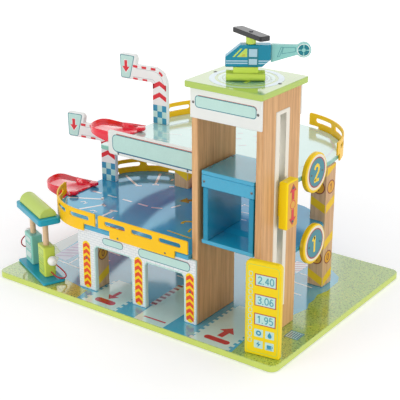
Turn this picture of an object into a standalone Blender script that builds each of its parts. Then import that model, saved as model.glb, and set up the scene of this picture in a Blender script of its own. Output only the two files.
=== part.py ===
"""Wooden toy garage: two parking decks, a lift tower, car chutes, a petrol station and a helicopter.

Metres, +Z up, +X along the front from left to right, +Y to the back. The origin is the centre of
the base board's underside.
"""
import math

import bmesh
import bpy
from mathutils import Matrix, Vector

# Gap between pieces that touch
GAP = 0.0003

# Rounding of the edges of wooden boards
EDGE = 0.0010
EDGE_STEPS = 1
ARC_STEP = math.radians(15)

# Base board
BASE_LENGTH = 0.600
BASE_DEPTH = 0.432
BASE_THICKNESS = 0.0115
BASE_CORNER = 0.014
BASE_TOP = BASE_THICKNESS
BASE_FRONT = -BASE_DEPTH / 2

# Lift tower: two walls that stand on the base, a panel across the front and back, and a roof
WALL_THICKNESS = 0.0115
TOWER_LEFT = 0.1105
SHAFT_WIDTH = 0.1087
SHAFT_LEFT = TOWER_LEFT + WALL_THICKNESS
SHAFT_RIGHT = SHAFT_LEFT + SHAFT_WIDTH
TOWER_RIGHT = SHAFT_RIGHT + WALL_THICKNESS
TOWER_MIDDLE = (TOWER_LEFT + TOWER_RIGHT) / 2
TOWER_FRONT = -0.172
TOWER_DEPTH = 0.1077
TOWER_BACK = TOWER_FRONT + TOWER_DEPTH
TOWER_TOP = 0.421
HEADER_HEIGHT = 0.0494
HEADER_THICKNESS = 0.004
ROOF_THICKNESS = 0.010
ROOF_OVERHANG_SIDE = 0.0055
ROOF_OVERHANG_FRONT = 0.0127
ROOF_CORNER = 0.004
ROOF_TOP = TOWER_TOP + GAP + ROOF_THICKNESS

# Slot in the right wall, lined with two white strips
SLOT_MIDDLE = -0.1165
SLOT_WIDTH = 0.0395
SLOT_BOTTOM = 0.055
SLOT_TOP = 0.3924
STRIP_WIDTH = 0.0105
STRIP_END = 0.006
STRIP_PROUD = 0.0008

# Decks
DECK_THICKNESS = 0.0084
DECK_1_TOP = 0.1378
DECK_1_LEFT = -0.236
DECK_1_RIGHT = 0.236
DECK_1_FRONT = -0.182
DECK_1_BACK = 0.1195
DECK_1_CORNER = 0.113
DECK_2_TOP = 0.249
DECK_2_LEFT = -0.158
DECK_2_RIGHT = 0.2194
DECK_2_FRONT = -0.0837
DECK_2_BACK = 0.2272
DECK_2_CORNER = 0.1433
DECK_SMALL_CORNER = 0.006
DECK_1_UNDER = DECK_1_TOP - DECK_THICKNESS
DECK_2_UNDER = DECK_2_TOP - DECK_THICKNESS

# Columns
COLUMN_SIDE = 0.031
COLUMN_RIGHT_Y = 0.0866
COLUMN_MIDDLE_X = -0.0855
COLUMN_MIDDLE_Y = 0.0767

# Front wall under the lower deck
FACADE_LEFT = -0.1355
FACADE_THICKNESS = 0.0084
FACADE_FRONT = -0.176
FACADE_RIGHT = TOWER_LEFT + 0.011
FACADE_LEG_LEFT = 0.0395
FACADE_ARCH_LEFT = 0.082
FACADE_LEG_MIDDLE = 0.0295
FACADE_ARCH_RIGHT = 0.0815
FACADE_ARCH_HEIGHT = 0.0873
FACADE_ARCH_CORNER = 0.006

# Sign board along the front edge of the upper deck
SIGN_LEFT = -0.134
SIGN_BOTTOM = 0.238
SIGN_HEIGHT = 0.044
SIGN_THICKNESS = 0.004
SIGN_CORNER = 0.005

# Yellow guard rails
RAIL_THICKNESS = 0.0024
RAIL_LIFT = 0.0032
RAIL_HEIGHT = 0.023
RAIL_TAB_DROP = 0.0103
RAIL_SLOT_HEIGHT = 0.0084
RAIL_SLOT_LENGTH = 0.0455
RAIL_SLOT_GAP = 0.0128
RAIL_SLOT_MARGIN = 0.0142
RAIL_FRONT_LEFT = -0.079
RAIL_FRONT_LENGTH = 0.190
RAIL_FRONT_TAB = (0.0245, 0.1636)
RAIL_CORNER_END = -0.0865
RAIL_CORNER_SWEEP = math.radians(77.5)
RAIL_CORNER_TAB = (0.026, 0.172)
RAIL_UPPER_START = math.radians(7.2)
RAIL_UPPER_END = math.radians(84)
RAIL_UPPER_TAB = (0.012, 0.170)

# Car chutes
CHUTE_WALL = 0.0022
CHUTE_RIM = 0.017
CHUTE_RIM_LOW = 0.0075
CHUTE_FLOOR = 0.0018
CHUTE_SKIRT = 0.0038
CHUTE_FOOT = 0.0002
CHUTE_TURN_OUTER = 0.056
CHUTE_TURN_INNER = 0.002
CHUTE_TURN_OUT = 0.018
CHUTE_TURN_ALONG = 0.024
CHUTE_MOUTH_HALF = 0.0305
CHUTE_TONGUE = 0.014
CHUTE_TONGUE_HALF = 0.0365
CHUTE_LOWER_Y = -0.060
CHUTE_UPPER_Y = -0.0125
CHUTE_LOWER_STRAIGHT_END = 0.010
CHUTE_UPPER_STRAIGHT_END = 0.066
CHUTE_LOWER_SWEEP = math.radians(90)
CHUTE_UPPER_SWEEP = math.radians(180)
CHUTE_LOWER_RADIUS = 0.160
CHUTE_UPPER_RADIUS = 0.0865
KNOB_RADIUS = 0.0087
KNOB_HEIGHT = 0.0062
KNOB_INSET = 0.0085
CHUTE_THIN = 0.0004

# Exit posts: a leg, an arm to the left and a sign board at its end
POST_LEG = 0.0315
POST_THICKNESS = 0.0097
POST_ARM_UNDER = 0.078
POST_ARM_TOP = 0.1075
POST_SIGN_LEFT = 0.074
POST_SIGN_TOP_RIGHT = 0.034
POST_SIGN_BOTTOM_RIGHT = 0.046
POST_TOP = 0.1258
POST_ELBOW = 0.031
POST_1_AT = (-0.2332, 0.0051)
POST_1_TURN = math.radians(8)
POST_2_AT = (-0.1572, 0.0695)
POST_2_TURN = math.radians(4)

# Number board beside the tower
TOTEM_WIDTH = 0.0595
TOTEM_HEIGHT = 0.1615
TOTEM_THICKNESS = 0.011
TOTEM_CORNER = 0.007
TOTEM_AT = (0.2352, -0.2024)
TOTEM_TURN = math.radians(8.5)

# Round number plates on the edges of the decks
DISC_RADIUS = 0.0348
DISC_THICKNESS = 0.009
DISC_1_Y = -0.0088
DISC_1_RISE = -0.0057
DISC_2_Y = 0.0184
DISC_2_RISE = -0.0017

# Lift cabin
CABIN_CLEAR = 0.0045
CABIN_WIDTH = SHAFT_WIDTH - 2 * CABIN_CLEAR
CABIN_LEFT = SHAFT_LEFT + CABIN_CLEAR
CABIN_RIGHT = CABIN_LEFT + CABIN_WIDTH
CABIN_FRONT = TOWER_FRONT + 0.004
CABIN_DEPTH = 0.097
CABIN_BACK = CABIN_FRONT + CABIN_DEPTH
CABIN_BOTTOM = 0.1605
CABIN_HEIGHT = 0.125
CABIN_TOP = CABIN_BOTTOM + CABIN_HEIGHT
CABIN_BOARD = 0.0067
CABIN_WALL = 0.009
CABIN_INSET = 0.0035
CABIN_HEADER = 0.0215
CABIN_HEADER_THICKNESS = 0.008
CABIN_STEP = 0.0026
CABIN_STEP_START = 0.0465
CABIN_STEP_END = 0.062
LIFT_MIDDLE = 0.2425

# Yellow slider outside the tower and the neck that joins it to the cabin
NECK_LENGTH_UP = 0.044
NECK_PLAY = 0.0008
SLIDER_OFF_WALL = 0.0058
SLIDER_THICKNESS = 0.0165
SLIDER_WIDTH = 0.0326
SLIDER_HEIGHT = 0.079
SLIDER_CORNER = 0.004

# Helicopter, in its own frame: x towards the tail, the rotor's axis at the origin, z from the roof
HELI_AT = (0.1843, -0.1203)
HELI_TURN = math.radians(34.5)
HELI_SKID_RADIUS = 0.0058
HELI_SKID_FRONT = -0.0374
HELI_SKID_LENGTH = 0.0598
HELI_SKID_HALF = 0.0103
HELI_BLOCK_FRONT = -0.0265
HELI_BLOCK_LENGTH = 0.038
HELI_BLOCK_WIDTH = 0.0185
HELI_BLOCK_BOTTOM = 0.0055
HELI_BODY_BOTTOM = 0.0208
HELI_BODY_HEIGHT = 0.0340
HELI_BODY_WIDTH = 0.018
HELI_NOSE = -0.0386
HELI_BODY_LENGTH = 0.0687
HELI_NOSE_HEIGHT = 0.0152
HELI_SCREEN_RUN = 0.0229
HELI_TAIL_CHAMFER_RUN = 0.0129
HELI_TAIL_CHAMFER_RISE = 0.0113
HELI_BOOM_WIDTH = 0.009
HELI_BOOM_END = 0.071
HELI_BOOM_END_HEIGHT = 0.015
HELI_FAN_AT = 0.0795
HELI_FAN_RADIUS = 0.0115
HELI_HUB_RADIUS = 0.0077
HELI_HUB_HEIGHT = 0.0112
ROTOR_LENGTH = 0.080
ROTOR_WIDTH = 0.0185
ROTOR_THICKNESS = 0.0075
ROTOR_CORNER = 0.0032
ROTOR_TURN = math.radians(-24.7)
ROTOR_SCREW_SHANK = 0.0016
ROTOR_SCREW_HEAD = 0.0032
ROTOR_SCREW_DEPTH = 0.009
ROTOR_SCREW_POCKET = 0.0012
ROTOR_PLAY = 0.0003

# Petrol station, in its own frame: x along the board, z from the base board's top
STATION_BESIDE_DECK = 0.0027
STATION_AT = (DECK_1_LEFT + STATION_BESIDE_DECK, -0.1711)
STATION_TURN = math.radians(-24.6)
STATION_LENGTH = 0.125
STATION_WIDTH = 0.0427
STATION_THICKNESS = 0.0047
STATION_CORNER = 0.0035
CANOPY_CORNER = 0.006
PUMP_LENGTH_LEFT = 0.0341
PUMP_LENGTH_RIGHT = 0.0308
PUMP_DEPTH = 0.0219
PUMP_HEIGHT = 0.0575
PUMP_LEFT_X = -0.03885
PUMP_RIGHT_X = 0.0243
PUMP_Y = 0.00245
PUMP_CORNER = 0.003
DOWEL_RADIUS = 0.0052
DOWEL_SEAT = 0.008
CANOPY_BOTTOM = 0.1092
CANOPY_LENGTH = 0.1148
CANOPY_WIDTH = 0.0422
CANOPY_THICKNESS = 0.0115
CANOPY_X = -0.007
CANOPY_ROUND_RADIUS = 0.0165
CANOPY_ROUND_LENGTH = 0.0975
NOZZLE_RADIUS = 0.009
NOZZLE_FLAT = 0.0006
HOSE_RADIUS = 0.0012
HOSE_SIDES = 2
HOSE_SPACING = 0.0026

# Upright panels: the outline's x and y become width and height, its z becomes depth
FACING_FRONT = Matrix(((1, 0, 0, 0), (0, 0, 1, 0), (0, 1, 0, 0), (0, 0, 0, 1)))
# Side panels: the outline's x and y become depth and height, its z becomes width
FACING_SIDE = Matrix(((0, 0, 1, 0), (1, 0, 0, 0), (0, 1, 0, 0), (0, 0, 0, 1)))
FLAT = Matrix.Identity(4)


# Scene and objects

def clear_scene():
    for old in list(bpy.data.objects):
        bpy.data.objects.remove(old, do_unlink=True)


def make_material(name, finish):
    """Material of one object's own, from its finish: colour, roughness and metallic."""
    colour, roughness, metallic = finish
    material = bpy.data.materials.new(name)
    material.use_nodes = True
    shader = material.node_tree.nodes["Principled BSDF"]
    shader.inputs["Base Color"].default_value = (*colour, 1.0)
    shader.inputs["Roughness"].default_value = roughness
    shader.inputs["Metallic"].default_value = metallic
    material.diffuse_color = (*colour, 1.0)
    return material


def add_empty(name, at, turn=0.0):
    empty = bpy.data.objects.new(name, None)
    empty.location = at
    empty.rotation_euler = (0, 0, turn)
    bpy.context.scene.collection.objects.link(empty)
    return empty


def add_object(name, bm, finish, at=(0, 0, 0), turn=0.0, parent=None, edge=0.0):
    """Turns the bmesh into a named object; edge is the width of the rounding along its sharp edges."""
    bmesh.ops.recalc_face_normals(bm, faces=bm.faces)
    mesh = bpy.data.meshes.new(name)
    bm.to_mesh(mesh)
    bm.free()
    mesh.shade_smooth()
    mesh.set_sharp_from_angle(angle=math.radians(35))
    mesh.materials.append(make_material(name + "_finish", finish))
    item = bpy.data.objects.new(name, mesh)
    item.location = at
    item.rotation_euler = (0, 0, turn)
    item.parent = parent
    bpy.context.scene.collection.objects.link(item)
    if edge > 0:
        round_edges(item, edge)
    return item


def round_edges(item, width):
    bevel = item.modifiers.new("rounding", "BEVEL")
    bevel.width = width
    bevel.segments = EDGE_STEPS
    bevel.limit_method = "ANGLE"
    bevel.angle_limit = math.radians(40)


def cut(item, bm, at=(0, 0, 0), turn=0.0, parent=None):
    """Cuts the bmesh's solid out of the item."""
    bmesh.ops.recalc_face_normals(bm, faces=bm.faces)
    mesh = bpy.data.meshes.new(item.name + "_cutter")
    bm.to_mesh(mesh)
    bm.free()
    cutter = bpy.data.objects.new(mesh.name, mesh)
    cutter.location = at
    cutter.rotation_euler = (0, 0, turn)
    cutter.parent = parent
    cutter.hide_render = True
    cutter.display_type = "WIRE"
    bpy.context.scene.collection.objects.link(cutter)
    boolean = item.modifiers.new("cut", "BOOLEAN")
    boolean.operation = "DIFFERENCE"
    boolean.solver = "EXACT"
    boolean.object = cutter


# Outlines and solids

def rounded(corners, radii):
    """Outline through the corners; radii is one radius for all of them, or one for each corner."""
    if isinstance(radii, (int, float)):
        radii = [radii] * len(corners)
    outline = []
    for index, radius in enumerate(radii):
        corner = Vector(corners[index])
        if radius <= 0:
            outline.append(tuple(corner))
            continue
        before = (Vector(corners[index - 1]) - corner).normalized()
        after = (Vector(corners[(index + 1) % len(corners)]) - corner).normalized()
        half = before.angle(after) / 2
        centre = corner + (before + after).normalized() * radius / math.sin(half)
        start = corner + before * radius / math.tan(half) - centre
        sweep = math.pi - 2 * half
        if before.x * after.y - before.y * after.x > 0:
            sweep = -sweep
        steps = max(2, math.ceil(abs(sweep) / ARC_STEP))
        for step in range(steps + 1):
            turned = Matrix.Rotation(sweep * step / steps, 2) @ start
            outline.append(tuple(centre + turned))
    return outline


def rectangle(low, high):
    return [(low[0], low[1]), (high[0], low[1]), (high[0], high[1]), (low[0], high[1])]


def circle(radius, sides, centre=(0, 0)):
    return [(centre[0] + radius * math.cos(math.tau * i / sides),
             centre[1] + radius * math.sin(math.tau * i / sides)) for i in range(sides)]


def prism(outline, low, high, facing=FLAT, into=None):
    """Solid over an outline, from low to high along the facing's depth."""
    bm = into or bmesh.new()
    bottom = [bm.verts.new(facing @ Vector((x, y, low))) for x, y in outline]
    top = [bm.verts.new(facing @ Vector((x, y, high))) for x, y in outline]
    bm.faces.new(bottom[::-1])
    bm.faces.new(top)
    count = len(outline)
    for i in range(count):
        j = (i + 1) % count
        bm.faces.new((bottom[i], bottom[j], top[j], top[i]))
    return bm


def box(low, high, into=None):
    return prism(rectangle(low, high), low[2], high[2], FLAT, into)


def skin(rings, closed_ends=True):
    """Solid through rings of points that all have the same count."""
    bm = bmesh.new()
    loops = [[bm.verts.new(point) for point in ring] for ring in rings]
    count = len(rings[0])
    for first, second in zip(loops, loops[1:]):
        for i in range(count):
            j = (i + 1) % count
            bm.faces.new((first[i], first[j], second[j], second[i]))
    if closed_ends:
        bm.faces.new(loops[0][::-1])
        bm.faces.new(loops[-1])
    return bm


# Base, tower and roof

def build_base(paint):
    half = (BASE_LENGTH / 2, BASE_DEPTH / 2)
    outline = rounded(rectangle((-half[0], -half[1]), half), BASE_CORNER)
    add_object("base_plate", prism(outline, 0, BASE_THICKNESS), paint["green"], edge=EDGE)


def build_tower(paint):
    front, back, foot = TOWER_FRONT, TOWER_BACK, BASE_TOP + GAP
    sides = rectangle((0, foot), (TOWER_DEPTH, TOWER_TOP))
    add_object("tower_wall_left", prism(sides, 0, WALL_THICKNESS, FACING_SIDE), paint["wood"],
               at=(TOWER_LEFT, front, 0), edge=EDGE)
    right = add_object("tower_wall_right", prism(sides, 0, WALL_THICKNESS, FACING_SIDE), paint["wood"],
                       at=(SHAFT_RIGHT, front, 0), edge=EDGE)
    slot = rectangle((SLOT_MIDDLE - SLOT_WIDTH / 2, SLOT_BOTTOM), (SLOT_MIDDLE + SLOT_WIDTH / 2, SLOT_TOP))
    cut(right, prism(slot, SHAFT_RIGHT - 0.01, TOWER_RIGHT + 0.01, FACING_SIDE))

    wide = SLOT_WIDTH / 2 - GAP
    frame = rectangle((SLOT_MIDDLE - wide, SLOT_BOTTOM + GAP), (SLOT_MIDDLE + wide, SLOT_TOP - GAP))
    track = add_object("slot_track", prism(frame, SHAFT_RIGHT, TOWER_RIGHT + STRIP_PROUD, FACING_SIDE),
                       paint["white"], edge=0.0008)
    groove = rectangle((SLOT_MIDDLE - wide + STRIP_WIDTH, SLOT_BOTTOM + STRIP_END),
                       (SLOT_MIDDLE + wide - STRIP_WIDTH, SLOT_TOP - STRIP_END))
    cut(track, prism(groove, SHAFT_RIGHT - 0.01, TOWER_RIGHT + 0.01, FACING_SIDE))

    header = rectangle((TOWER_LEFT, TOWER_TOP - HEADER_HEIGHT), (TOWER_RIGHT, TOWER_TOP))
    add_object("tower_header_front", prism(header, 0, HEADER_THICKNESS - GAP, FACING_FRONT), paint["white"],
               at=(0, front - HEADER_THICKNESS, 0), edge=EDGE)
    add_object("tower_header_rear", prism(header, 0, HEADER_THICKNESS - GAP, FACING_FRONT), paint["white"],
               at=(0, back + GAP, 0), edge=EDGE)

    roof = rounded(rectangle((TOWER_LEFT - ROOF_OVERHANG_SIDE, front - ROOF_OVERHANG_FRONT),
                             (TOWER_RIGHT + ROOF_OVERHANG_SIDE, back + ROOF_OVERHANG_FRONT)), ROOF_CORNER)
    add_object("roof_plate", prism(roof, TOWER_TOP + GAP, ROOF_TOP), paint["green"], edge=EDGE)


# Decks, columns, front wall and sign

def column_places():
    """Centre of each column, and the level of its top."""
    left = FACADE_LEFT + FACADE_LEG_LEFT - 0.003 - COLUMN_SIDE / 2
    front = FACADE_FRONT + FACADE_THICKNESS + GAP + COLUMN_SIDE / 2
    return {
        "column_front_left": (left, front, DECK_1_UNDER),
        "column_rear_middle": (COLUMN_MIDDLE_X, COLUMN_MIDDLE_Y, DECK_2_UNDER),
        "column_rear_right": (DECK_2_RIGHT - COLUMN_SIDE / 2, COLUMN_RIGHT_Y, DECK_2_UNDER),
    }


def build_columns(paint):
    half = COLUMN_SIDE / 2
    for name, (x, y, top) in column_places().items():
        bm = box((-half, -half, BASE_TOP + GAP), (half, half, top - GAP))
        add_object(name, bm, paint["wood"], at=(x, y, 0), edge=EDGE)


def deck_outline(left, right, front, back, corner, front_corner):
    """Deck with a step round the tower's left and back sides."""
    beside = TOWER_LEFT - GAP
    behind = TOWER_BACK + HEADER_THICKNESS + GAP
    corners = [(left, front), (beside, front), (beside, behind), (right, behind), (right, back), (left, back)]
    return rounded(corners, [front_corner, 0, 0, DECK_SMALL_CORNER, corner, corner])


def build_decks(paint):
    outline = deck_outline(DECK_1_LEFT, DECK_1_RIGHT, DECK_1_FRONT, DECK_1_BACK, DECK_1_CORNER, DECK_1_CORNER)
    deck_1 = add_object("deck_1", prism(outline, DECK_1_UNDER, DECK_1_TOP), paint["blue"], edge=EDGE)
    half = COLUMN_SIDE / 2 + GAP
    for name in ("column_rear_middle", "column_rear_right"):
        x, y, top = column_places()[name]
        reach = 0.05 if name == "column_rear_right" else 0
        cut(deck_1, box((x - half, y - half, DECK_1_UNDER - 0.01),
                        (x + half, y + half + reach, DECK_1_TOP + 0.01)))
    outline = deck_outline(DECK_2_LEFT, DECK_2_RIGHT, DECK_2_FRONT, DECK_2_BACK, DECK_2_CORNER,
                           DECK_SMALL_CORNER)
    add_object("deck_2", prism(outline, DECK_2_UNDER, DECK_2_TOP), paint["mint"], edge=EDGE)


def build_facade(paint):
    """Front wall with two arches; its right end is thinned where it lies on the tower's front."""
    foot, top = BASE_TOP + GAP, DECK_1_UNDER - GAP
    arch = BASE_TOP + FACADE_ARCH_HEIGHT
    first = FACADE_LEFT + FACADE_LEG_LEFT
    second = first + FACADE_ARCH_LEFT + FACADE_LEG_MIDDLE
    corners = [(FACADE_LEFT, foot)]
    radii = [0]
    for start, width in ((first, FACADE_ARCH_LEFT), (second, FACADE_ARCH_RIGHT)):
        corners += [(start, foot), (start, arch), (start + width, arch), (start + width, foot)]
        radii += [0, FACADE_ARCH_CORNER, FACADE_ARCH_CORNER, 0]
    corners += [(FACADE_RIGHT, foot), (FACADE_RIGHT, top), (FACADE_LEFT, top)]
    radii += [0, 0, 0]
    wall = add_object("facade_panel", prism(rounded(corners, radii), 0, FACADE_THICKNESS, FACING_FRONT),
                      paint["white"], at=(0, FACADE_FRONT, 0), edge=EDGE)
    cut(wall, box((TOWER_LEFT - GAP, TOWER_FRONT - GAP, foot - 0.01),
                  (FACADE_RIGHT + 0.01, FACADE_FRONT + FACADE_THICKNESS + 0.01, top + 0.01)))


def build_sign(paint):
    right = TOWER_LEFT - GAP
    top = SIGN_BOTTOM + SIGN_HEIGHT
    corners = rectangle((SIGN_LEFT, SIGN_BOTTOM), (right, top))
    outline = rounded(corners, [SIGN_CORNER, 0, 0, SIGN_CORNER])
    add_object("sign_panel", prism(outline, -GAP - SIGN_THICKNESS, -GAP, FACING_FRONT), paint["white"],
               at=(0, DECK_2_FRONT, 0), edge=0.0008)


# Guard rails

def swept_band(stations, low, high, near, far, path):
    """Upright band along a path; low and high give its edges at each station, near and far its two faces."""
    rings = []
    for s in stations:
        (x, y), (nx, ny) = path(s)
        rings.append([(x + nx * near, y + ny * near, low(s)), (x + nx * far, y + ny * far, low(s)),
                      (x + nx * far, y + ny * far, high(s)), (x + nx * near, y + ny * near, high(s))])
    return skin(rings)


def build_rail(name, paint, path, length, deck_top, tab, slots):
    """Slotted rail on a deck's edge. The path gives the edge's point and outward direction at a distance."""
    low = deck_top + RAIL_LIFT
    high = low + RAIL_HEIGHT
    tab_low = deck_top - RAIL_TAB_DROP
    near, far = GAP, GAP + RAIL_THICKNESS
    step = 0.0006
    corner = 0.003
    marks = {0.0, length, tab[0], tab[0] + step, tab[1] - step, tab[1]}
    marks |= {i * 0.010 for i in range(int(length / 0.010) + 1)}
    for i in range(5):
        drop = corner * (1 - math.cos(math.pi / 2 * i / 4))
        marks |= {drop, length - drop}

    def top(s):
        inward = min(s, length - s)
        if inward >= corner:
            return high
        return high - corner + math.sqrt(max(corner ** 2 - (corner - inward) ** 2, 0))

    def bottom(s):
        return tab_low if tab[0] + step / 2 < s < tab[1] - step / 2 else low

    stations = []
    for mark in sorted(marks):
        if not stations or mark - stations[-1] > 0.0002:
            stations.append(mark)
    rail = add_object(name, swept_band(stations, bottom, top, near, far, path), paint["yellow"])
    middle = low + RAIL_HEIGHT / 2
    half = RAIL_SLOT_HEIGHT / 2
    for start in slots:
        points = []
        for i in range(7):
            angle = math.pi * i / 12
            points.append((half * (1 - math.cos(angle)), half * math.sin(angle)))
        edges = {start + run: rise for run, rise in points}
        edges.update({start + RAIL_SLOT_LENGTH - run: rise for run, rise in points})
        for i in range(1, 4):
            edges[start + half + (RAIL_SLOT_LENGTH - 2 * half) * i / 4] = half
        inner = sorted(edges)
        rise = {s: max(edges[s], 0.0003) for s in inner}
        cut(rail, swept_band(inner, lambda s: middle - rise[s], lambda s: middle + rise[s],
                             near - 0.003, far + 0.003, path))


def slot_starts(length):
    """Slots spread evenly along a rail."""
    count = int((length - 2 * RAIL_SLOT_MARGIN + RAIL_SLOT_GAP) / (RAIL_SLOT_LENGTH + RAIL_SLOT_GAP) + 0.05)
    used = count * RAIL_SLOT_LENGTH + (count - 1) * RAIL_SLOT_GAP
    return [(length - used) / 2 + i * (RAIL_SLOT_LENGTH + RAIL_SLOT_GAP) for i in range(count)]


def corner_path(end_x, edge_y, centre_y, side):
    """From a point on a deck's straight front (side -1) or back (side 1) edge round its left corner."""
    straight = end_x - (DECK_1_LEFT + DECK_1_CORNER)
    centre = (DECK_1_LEFT + DECK_1_CORNER, centre_y)

    def path(s):
        if s <= straight:
            return (end_x - s, edge_y), (0, side)
        turned = (s - straight) / DECK_1_CORNER
        nx, ny = -math.sin(turned), side * math.cos(turned)
        return (centre[0] + DECK_1_CORNER * nx, centre[1] + DECK_1_CORNER * ny), (nx, ny)

    return path, straight + DECK_1_CORNER * RAIL_CORNER_SWEEP


def build_rails(paint):
    path, length = corner_path(RAIL_CORNER_END, DECK_1_FRONT, DECK_1_FRONT + DECK_1_CORNER, -1)
    build_rail("rail_1_left", paint, path, length, DECK_1_TOP, RAIL_CORNER_TAB, slot_starts(length))

    def front_path(s):
        return (RAIL_FRONT_LEFT + s, DECK_1_FRONT), (0, -1)

    build_rail("rail_1_front", paint, front_path, RAIL_FRONT_LENGTH, DECK_1_TOP, RAIL_FRONT_TAB,
               slot_starts(RAIL_FRONT_LENGTH))

    rear_end = DECK_1_LEFT + DECK_1_CORNER - 0.014
    centre = (DECK_1_LEFT + DECK_1_CORNER, DECK_1_BACK - DECK_1_CORNER)
    start_turn = math.asin((centre[0] - rear_end) / DECK_1_CORNER)

    def rear_path(s):
        turned = start_turn + s / DECK_1_CORNER
        nx, ny = -math.sin(turned), math.cos(turned)
        return (centre[0] + DECK_1_CORNER * nx, centre[1] + DECK_1_CORNER * ny), (nx, ny)

    length = DECK_1_CORNER * (RAIL_CORNER_SWEEP - start_turn)
    build_rail("rail_1_rear", paint, rear_path, length, DECK_1_TOP, (0.020, length - 0.020),
               slot_starts(length))

    for name, side, centre_x in (("rail_2_right", 1, DECK_2_RIGHT - DECK_2_CORNER),
                                 ("rail_2_left", -1, DECK_2_LEFT + DECK_2_CORNER)):
        def upper_path(s, side=side, centre_x=centre_x):
            angle = RAIL_UPPER_START + s / DECK_2_CORNER
            nx, ny = side * math.cos(angle), math.sin(angle)
            centre_y = DECK_2_BACK - DECK_2_CORNER
            return (centre_x + DECK_2_CORNER * nx, centre_y + DECK_2_CORNER * ny), (nx, ny)

        length = DECK_2_CORNER * (RAIL_UPPER_END - RAIL_UPPER_START)
        build_rail(name, paint, upper_path, length, DECK_2_TOP, RAIL_UPPER_TAB, slot_starts(length))


# Car chutes

def chute_ring(inner, outer, floor, rim_inner, rim_outer, skirt):
    """Section of a chute: a floor between two walls that also reach a little below it."""
    across = (Vector(outer) - Vector(inner)).normalized() * CHUTE_WALL
    a, d = Vector(inner), Vector(outer)
    b, c = a + across, d - across
    under = floor - CHUTE_FLOOR
    foot = under - max(skirt, CHUTE_FOOT)
    levels = [(a, foot), (a, floor + rim_inner), (b, floor + rim_inner), (b, floor), (c, floor),
              (c, floor + rim_outer), (d, floor + rim_outer), (d, foot), (c, foot), (c, under), (b, under),
              (b, foot)]
    return [(p.x, p.y, z) for p, z in levels]


def chute_stations(edge_x, mouth_y, straight_end, radius, sweep, deck_top, landing):
    """Sections from the tongue on the deck, round a first turn, along the side and round the last turn."""
    tongue_floor = deck_top + GAP + CHUTE_FLOOR + CHUTE_FOOT
    thin = CHUTE_THIN
    lane_inner = CHUTE_TURN_OUT + CHUTE_TURN_INNER
    lane_outer = CHUTE_TURN_OUT + CHUTE_TURN_OUTER
    turn_x, turn_y = edge_x - CHUTE_TURN_OUT, mouth_y + CHUTE_TURN_ALONG
    rings = []

    def mouth(out, inner, outer, rim, skirt, floor=tongue_floor):
        rings.append(chute_ring((edge_x - out, mouth_y + inner), (edge_x - out, mouth_y - outer),
                                floor, rim, rim, skirt))

    wide, mid = CHUTE_TONGUE_HALF, CHUTE_MOUTH_HALF
    deep = CHUTE_SKIRT - CHUTE_FLOOR
    mouth(-CHUTE_TONGUE, wide - 0.003, wide - 0.003, thin, 0)
    mouth(-CHUTE_TONGUE + 0.003, wide, wide, thin, 0)
    mouth(-0.0055, wide, wide, thin, 0)
    mouth(-0.0045, mid + 0.002, mid + 0.001, CHUTE_RIM_LOW, 0)
    mouth(GAP, mid - 0.001, mid, CHUTE_RIM_LOW * 1.3, 0)
    mouth(2 * GAP, mid - 0.001, mid, CHUTE_RIM_LOW * 1.3, deep)
    mouth(0.008, mid - 0.006, mid + 0.0005, CHUTE_RIM * 0.8, deep)
    start_in, start_out = CHUTE_TURN_ALONG - CHUTE_TURN_INNER, CHUTE_TURN_OUTER - CHUTE_TURN_ALONG
    mouth(CHUTE_TURN_OUT, start_in, start_out, CHUTE_RIM, deep)

    steps = 9
    for i in range(1, steps + 1):
        angle = -math.pi / 2 - math.pi / 2 * i / steps
        out = Vector((math.cos(angle), math.sin(angle)))
        centre = Vector((turn_x, turn_y))
        rings.append(chute_ring(centre + out * CHUTE_TURN_INNER, centre + out * CHUTE_TURN_OUTER,
                                tongue_floor, CHUTE_RIM, CHUTE_RIM, deep))

    inner_x, outer_x = edge_x - lane_inner, edge_x - lane_outer
    centre = Vector(((inner_x + outer_x) / 2 + radius, straight_end))
    straight = straight_end - turn_y
    total = straight + radius * sweep
    drop = tongue_floor - landing

    def level(run):
        part = run / total
        return tongue_floor - drop * (1.28 * part - 0.10 * part ** 2 - 0.18 * part ** 6)

    for i in range(1, 5):
        run = straight * i / 4
        rings.append(chute_ring((inner_x, turn_y + run), (outer_x, turn_y + run), level(run),
                                CHUTE_RIM, CHUTE_RIM, deep))
    steps = max(6, round(sweep / math.radians(7.5)))
    for i in range(1, steps + 1):
        turned = sweep * i / steps
        out = Vector((-math.cos(turned), math.sin(turned)))
        part = i / steps
        rim = CHUTE_RIM * min(1, 0.45 + (1 - part) * 5)
        width = (outer_x - inner_x) / -2
        floor = level(straight + radius * turned)
        rings.append(chute_ring(centre + out * (radius - width), centre + out * (radius + width),
                                floor, rim, rim, min(deep, floor - landing)))
    return rings


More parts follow.
